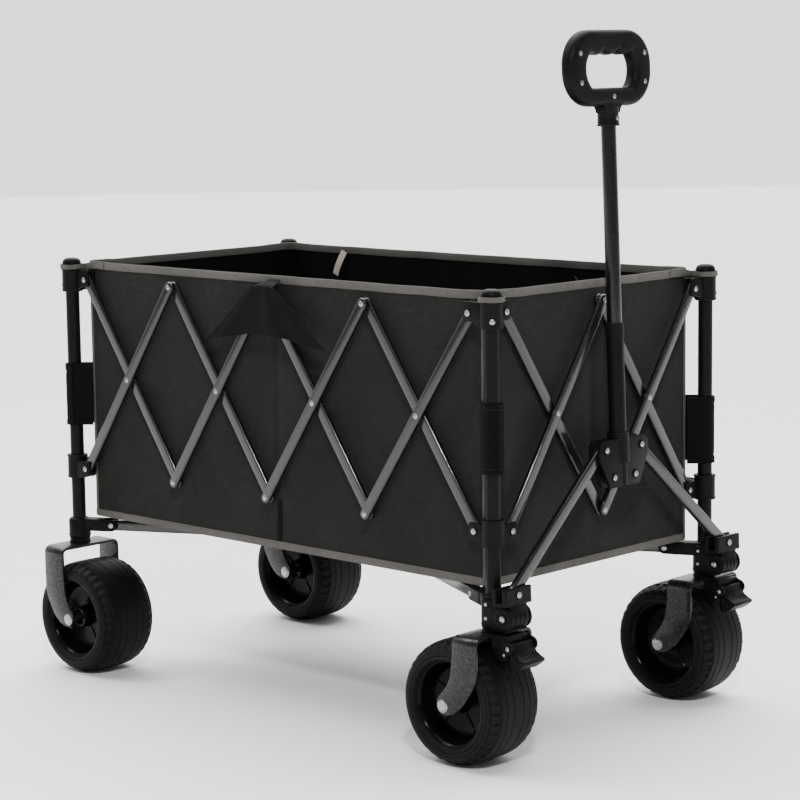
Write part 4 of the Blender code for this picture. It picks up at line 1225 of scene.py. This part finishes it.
def wall(side):
    """One wall of the tub: its cloth, and its bindings and seam tapes as a second piece."""
    outer, points, outs = wall_rows(side)
    inner, _, _ = wall_rows(side, off=-CLOTH)
    s = Shape()
    s.cloth(outer, inner, WALL_CLOTH, INNER_CLOTH)
    cloth = s.make(f"{side}_wall", BODY_OF[side], slot="charcoal_cloth", angle=60)
    s = Shape()
    rim = [p + out * wall_bulge(side, p, rim_height(p)) + Z * rim_height(p)
           for p, out in zip(points, outs)]
    bound_edge(s, rim, outs, TAPE, TAPE)
    foot = [p + Z * WALL_LOW for p in points]
    bound_edge(s, foot, outs, 0.0105, 0.0105, flip=-1)
    # upright tapes over the seams at both ends of the flat panel, outside and inside
    for end in (1, -1):
        a, b, c, d = (seam_tape(side, end, off) for off in (0.0011, -0.0003, -0.0006, -0.0019))
        s.cloth(a, b, BINDING, BINDING)
        s.cloth(c, d, INNER_CLOTH, INNER_CLOTH)
        for column in (1, len(a[0]) - 2):
            s.stitches([row[column] for row in a], Vector((outs[len(outs) // 2])))
    tapes = s.make(f"{side}_bindings", BODY_OF[side], slot="charcoal_cloth", angle=50)
    crumple(cloth)
    crumple(tapes)
    return cloth, tapes


walls = {side: wall(side) for side in ("right", "left", "front", "rear")}
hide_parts("fabric_basket")


def eyelet(corner):
    """The outer half of the binding's eye, passing outside the post cap."""
    sx, sy = CORNERS[corner]
    at = post_axis(corner)
    r, reach = 0.017, 0.064
    a = Vector((sx * (POST_X - reach), sy * (WALL_Y + 0.0018), 0))
    b = Vector((sx * (WALL_X + 0.0018), sy * (POST_Y - reach), 0))
    turn = sx * sy
    # headings of the points where the two straight ends touch the circle round the cap
    t0, t1 = (atan2(p.y - at.y, p.x - at.x) + sign * acos(r / (p - at).length)
              for p, sign in ((a, turn), (b, -turn)))
    while (t1 - t0) * turn < 0:
        t1 += 2 * pi * turn
    start = at + Vector((cos(t0), sin(t0), 0)) * r
    finish = at + Vector((cos(t1), sin(t1), 0)) * r
    path = [a + (start - a) * i / 12 for i in range(12)]
    for i in range(17):
        t = t0 + (t1 - t0) * i / 16
        path.append(at + Vector((cos(t), sin(t), 0)) * r)
    path += [finish + (b - finish) * i / 12 for i in range(1, 13)]
    n = len(path)
    outer, inner, seam = [[], [], [], []], [[], [], [], []], []
    for i, p in enumerate(path):
        way = (path[min(i + 1, n - 1)] - path[max(i - 1, 0)]).normalized()
        out = Vector((way.y, -way.x, 0))
        if out.dot(p - at * 0.9) < 0:
            out = -out
        near = min(i, n - 1 - i) / 12
        lift = smooth(near)
        low = WALL_HIGH - TAPE + 0.0015 + (0.6528 - WALL_HIGH + TAPE - 0.0015) * smooth(near * 1.25)
        high = WALL_HIGH + 0.0022 + (0.66 - WALL_HIGH - 0.0022) * lift
        sag = 0.0006 * ripple(p.x, p.y, 3.0, 60)
        for k in range(4):
            z = low + (high - low) * k / 3 + sag
            puff = 0.0003 * sin(pi * k / 3)
            outer[k].append(p + out * (0.0016 + puff) + Z * z)
            inner[k].append(p + Z * z)
        seam.append(p + out * 0.0017 + Z * (low + 0.0016 + sag))
    s = Shape()
    s.cloth(outer, inner, BINDING, BINDING)
    s.make(f"{corner}_rim_eye", f"{corner}_corner", slot="charcoal_cloth", angle=60)


for corner in CORNERS:
    eyelet(corner)


def sleeve(corner, low, high, wide):
    """A strap from the tub wrapped round the post and sewn back on itself."""
    sx, sy = CORNERS[corner]
    at = post_axis(corner)
    diag = Vector((sx, sy, 0)).normalized()
    side = Vector((-diag.y, diag.x, 0))
    root = Vector((sx * (WALL_X - CUT / 2), sy * (WALL_Y - CUT / 2), 0)) + diag * 0.0012
    count = 26
    outer, inner = [[] for _ in range(count + 1)], [[] for _ in range(count + 1)]
    for k in range(count + 1):
        v = k / count
        z = low + (high - low) * v
        hem = 0.0007 if min(v, 1 - v) < 0.09 else 0.0
        groove = -0.0007 if 0.09 <= min(v, 1 - v) < 0.13 else 0.0
        r = 0.0128 + 0.0004 * ripple(v * 5, 1.0, sx * 2 + sy)
        spread = wide * (1 - 0.08 * sin(pi * v))
        plan = []
        for i in range(7):                       # out along one side of the strap
            t = i / 7
            plan.append(root + side * (spread * (1 - t) + r * t) + (at - root) * t)
        for i in range(25):                      # round the post
            t = pi / 2 - pi * i / 24
            plan.append(at + (diag * cos(t) + side * sin(t)) * r)
        for i in range(1, 8):                    # and back
            t = 1 - i / 7
            plan.append(root - side * (spread * (1 - t) + r * t) + (at - root) * t)
        for i, p in enumerate(plan):
            before, after = plan[max(i - 1, 0)], plan[min(i + 1, len(plan) - 1)]
            way = (after - before).normalized()
            out = Vector((-way.y, way.x, 0))
            if out.dot(p - (at + root) / 2) < 0:
                out = -out
            lap = 0.0012 if 9 <= i <= 15 else 0.0          # the overlapping end of the strap
            edge = 0.0006 if i in (9, 15) else 0.0
            outer[k].append(p + out * (0.0016 + hem + groove + lap + edge) + Z * z)
            inner[k].append(p + Z * z)
    s = Shape()
    s.cloth(outer, inner, SLEEVE_CLOTH, SLEEVE_CLOTH)
    for v in (2, count - 2):
        s.stitches(outer[v][8:30], [(p - at).normalized() for p in outer[v][8:30]])
    s.make(f"{corner}_post_sleeve", f"{corner}_corner", slot="charcoal_cloth", angle=35)


for corner, low, high, wide in (("front_right", 0.415, 0.513, 0.01),
                                ("rear_right", 0.4, 0.499, 0.012),
                                ("front_left", 0.369, 0.47, 0.016),
                                ("rear_left", 0.41, 0.51, 0.012)):
    sleeve(corner, low, high, wide)


def flap(side):
    """A triangular cover hanging from the rim over the crossing bars, stiff along its hems."""
    sgn = -1 if side == "right" else 1
    apex_x, apex_half, top = 0.0095, 0.0105, 0.6585
    foot_l, foot_r = Vector((-0.115, 0, 0.562)), Vector((0.143, 0, 0.562))
    nu, nv = 48, 34
    outer, inner = [], []
    for k in range(nv + 1):
        v = k / nv                       # 0 at the rim, 1 at the lower edge
        outer.append([])
        inner.append([])
        for i in range(nu + 1):
            u = i / nu
            lx = apex_x - apex_half + (foot_l.x - apex_x + apex_half) * v
            rx = apex_x + apex_half + (foot_r.x - apex_x - apex_half) * v
            x = lx * (1 - u) + (rx + 0.002 * sin(pi * v)) * u
            zb = foot_l.z * (1 - u) + foot_r.z * u + 0.017 * sin(pi * u) ** 1.1
            z = top + (zb - top) * v
            stand = 0.003 + 0.0262 * smooth(v / 0.1) + 0.004 * v
            ridge = 0.004 * exp(-((u - 0.6) / 0.1) ** 2) * smooth(v * 1.3)
            hollow = -0.0016 * exp(-((u - 0.28) / 0.16) ** 2) * smooth(v)
            curl = -0.003 * smooth((v - 0.8) / 0.2) * (1 - abs(2 * u - 1))
            hem = 0.0007 if (u > 0.965 or u < 0.035 or v > 0.94) and v > 0.04 else 0.0
            groove = -0.0005 if 0.94 < u <= 0.965 or 0.9 < v <= 0.94 else 0.0
            tip = -0.004 * (smooth((u - 0.85) / 0.15) + smooth((0.15 - u) / 0.15)) * v
            y = WALL_Y + stand + ridge + hollow + curl + tip + hem + groove \
                + 0.0008 * ripple(u * 3, v * 3, 21.0 + sgn)
            outer[-1].append(Vector((x, sgn * y, z)))
            inner[-1].append(Vector((x, sgn * (y - 0.0014), z)))
    s = Shape()
    s.cloth(outer, inner, FLAP_CLOTH, FLAP_CLOTH)
    out = Y * sgn
    for i in (2, 3, nu - 3, nu - 2):
        s.stitches([row[i] for row in outer[2:]], out, 0.003, 0.002, 0.00026)
    s.stitches(outer[nv - 3][2:-2], out, 0.003, 0.002, 0.00026)
    obj = s.make(f"{side}_handle_flap", BODY_OF[side], slot="charcoal_cloth", angle=60)
    crumple(obj)


flap("right")
flap("left")


def small_strap(name, side, points, out, width, thick, coat, stitch=True):
    """A flat webbing strap along a line of points on a long wall, facing out."""
    n = len(points)
    outer, inner = [[] for _ in range(5)], [[] for _ in range(5)]
    for i, p in enumerate(points):
        way = (points[min(i + 1, n - 1)] - points[max(i - 1, 0)]).normalized()
        across = way.cross(out).normalized()
        for k in range(5):
            w = (k / 4 - 0.5) * width
            crown = thick * (1 - 0.25 * abs(k / 2 - 1))
            outer[k].append(p + across * w + out * crown)
            inner[k].append(p + across * w)
    s = Shape()
    s.cloth(outer, inner, coat, coat)
    if stitch:
        for row in (outer[1], outer[3]):
            s.stitches(row, out, 0.0028, 0.0019, 0.00025)
    crumple(s.make(name, BODY_OF[side], slot="charcoal_cloth", angle=50))


# webbing tab where the lower middle rivet meets the wall, on both long sides
for side, sgn in (("right", -1), ("left", 1)):
    line = [Vector((0.008 + 0.0006 * sin(t * 5), sgn * (WALL_Y - 0.0002 + 0.0004 * t),
                    0.324 - 0.062 * t)) for t in [i / 14 for i in range(15)]]
    small_strap(f"{side}_lower_tab", side, line, Y * sgn, 0.008, 0.0013, SLEEVE_CLOTH)

# a plain sewn tab inside the left wall
line = [Vector((-0.296 - 0.018 * t, WALL_Y - 0.0034 - 0.005 * sin(pi * t * 0.7), 0.656 - 0.04 * t))
        for t in [i / 12 for i in range(13)]]
small_strap("inner_tab", "left", line, -Y, 0.013, 0.0006, TAB_CLOTH, False)

# a fine sewn crease that runs down the lining near the front
line = [Vector((0.215 + 0.15 * t, WALL_Y - 0.006 + 0.0012 * sin(pi * t), 0.64 - 0.15 * t))
        for t in [i / 20 for i in range(21)]]
small_strap("lining_crease", "left", line, -Y, 0.0018, 0.0009, STITCH, False)


# ---- floor cloth and padded boards -----------------------------------------------------------
def shrink(obj):
    """Gives a floor piece a mesh of its own."""
    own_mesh(obj)


def floor_strip(name, body, y0, y1, z):
    """One strip of the tub's floor cloth."""
    nx, ny = 90, 12
    top, bottom = [], []
    for k in range(ny + 1):
        y = y0 + (y1 - y0) * k / ny
        half = WALL_X - 0.002 - max(0.0, abs(y) - (WALL_Y - CUT))
        line = [-half + 2 * half * i / nx for i in range(nx + 1)]
        top.append([Vector((x, y, z + 0.0002 * ripple(x, y, 30.0, 20))) for x in line])
        bottom.append([Vector((x, y, z + 0.0002 * ripple(x, y, 30.0, 20) - 0.0008)) for x in line])
    s = Shape()
    s.cloth(top, bottom, INNER_CLOTH, WALL_CLOTH)
    obj = s.make(name, body, slot="charcoal_cloth", angle=60)
    shrink(obj)


def mat_panel(name, body, y0, y1, low, high):
    """One padded board of the floor mat: crowned, with a sewn hem and two quilting lines."""
    nx, ny = 120, 26
    top, bottom = [], []
    for k in range(ny + 1):
        b = k / ny
        y = y0 + 0.0012 + (y1 - y0 - 0.0024) * b
        half = WALL_X - 0.005 - max(0.0, abs(y) - (WALL_Y - CUT - 0.004))
        top.append([])
        bottom.append([])
        for i in range(nx + 1):
            a = i / nx
            x = -half + 2 * half * a
            edge = min(a, 1 - a) * 2 * half
            side = min(b, 1 - b) * (y1 - y0)
            inset = min(edge, side)
            crown = smooth(min(1, inset / 0.012)) ** 0.6
            line = min(abs(x + 0.29), abs(x), abs(x - 0.29))
            quilt = 1 - 0.55 * exp(-(line / 0.0045) ** 2)
            hem = 1 - 0.3 * exp(-((inset - 0.01) / 0.0022) ** 2)
            h = (high - low) * (0.35 + 0.65 * crown * quilt * hem) + 0.0003 * ripple(x, y, 40.0, 22)
            top[-1].append(Vector((x, y, min(high, low + h))))
            bottom[-1].append(Vector((x, y, low)))
    s = Shape()
    s.cloth(top, bottom, BOARD_CLOTH, BOARD_CLOTH)
    obj = s.make(name, body, slot="floor_cloth", angle=50)
    shrink(obj)
    return obj


# the side strips and boards lie at different heights, so that they slide over each other
MIDDLE = 0.076                 # half-width of the middle strip
floor_strip("right_floor_cloth", "rear_right_corner", -WALL_Y + 0.001, -MIDDLE - 0.0004, 0.2524)
floor_strip("left_floor_cloth", "rear_left_corner", MIDDLE + 0.0004, WALL_Y - 0.001, 0.251)
floor_strip("middle_floor_cloth", "floor_hub", -MIDDLE, MIDDLE, 0.2517)
mat_panel("right_floor_pad", "rear_right_corner", -WALL_Y + 0.003, -MIDDLE - 0.0008, 0.2534, 0.2588)
mat_panel("left_floor_pad", "rear_left_corner", MIDDLE + 0.0008, WALL_Y - 0.003, 0.2592, 0.2651)
middle_mat = mat_panel("middle_floor_pad", "floor_hub", -MIDDLE, MIDDLE, 0.2534, 0.2651)
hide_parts("padded_floor_board")


# ---- studio ----------------------------------------------------------------------------------
FLOOR_RADIUS = 14.0
BRIGHT_SIDE = (-0.66, 0.69, 0.3)     # heading of the brighter side of the sky
LAMPS = (("key", (2.9, -2.75, 3.4), 0.45, 150), ("side", (-2.4, -1.6, 3.6), 1.4, 50))


def studio():
    """A plain pale floor, a sky that is brighter on one side, soft light from above and two lamps."""
    n = Nodes("studio_floor")
    tone = n.noise(3.0, 2, 0.4)
    n.set(colour=n.mix(tone, (0.9, 0.9, 0.9), (0.93, 0.93, 0.93)), rough=0.85, specular=0.1)
    bm = bmesh.new()
    bm.faces.new([bm.verts.new((x, y, 0)) for x, y in ring(0, 0, FLOOR_RADIUS, 64)])
    mesh = bpy.data.meshes.new("studio_floor")
    bm.to_mesh(mesh)
    mesh.materials.append(n.material)
    place("studio_floor", mesh)
    world = bpy.data.worlds.new("studio")
    world.use_nodes = True
    tree = world.node_tree
    background = tree.nodes["Background"]
    background.inputs[0].default_value = (1.0, 1.0, 1.0, 1)
    way = tree.nodes.new("ShaderNodeTexCoord")
    towards = tree.nodes.new("ShaderNodeVectorMath")
    towards.operation = "DOT_PRODUCT"
    towards.inputs[1].default_value = BRIGHT_SIDE
    fade = tree.nodes.new("ShaderNodeMapRange")
    fade.interpolation_type = "SMOOTHSTEP"
    for socket, v in zip(list(fade.inputs)[1:5], (-0.2, 0.9, 0.22, 1.9)):
        socket.default_value = v
    tree.links.new(way.outputs["Generated"], towards.inputs[0])
    tree.links.new(towards.outputs["Value"], fade.inputs[0])
    tree.links.new(fade.outputs[0], background.inputs[1])
    bpy.context.scene.world = world
    sky = bpy.data.lights.new("overhead", "SUN")
    sky.energy, sky.angle = 5.6, radians(70)
    lamp = place("overhead", sky)
    lamp.rotation_euler = Vector((0.3, -0.34, -1.0)).to_track_quat("-Z", "Y").to_euler()
    for name, at, size, power in LAMPS:
        data = bpy.data.lights.new(name, "AREA")
        data.shape, data.size, data.energy = "DISK", size, power
        lamp = place(name, data)
        lamp.location = at
        lamp.rotation_euler = (Vector((0, 0, 0.4)) - Vector(at)).to_track_quat("-Z", "Y").to_euler()


studio()
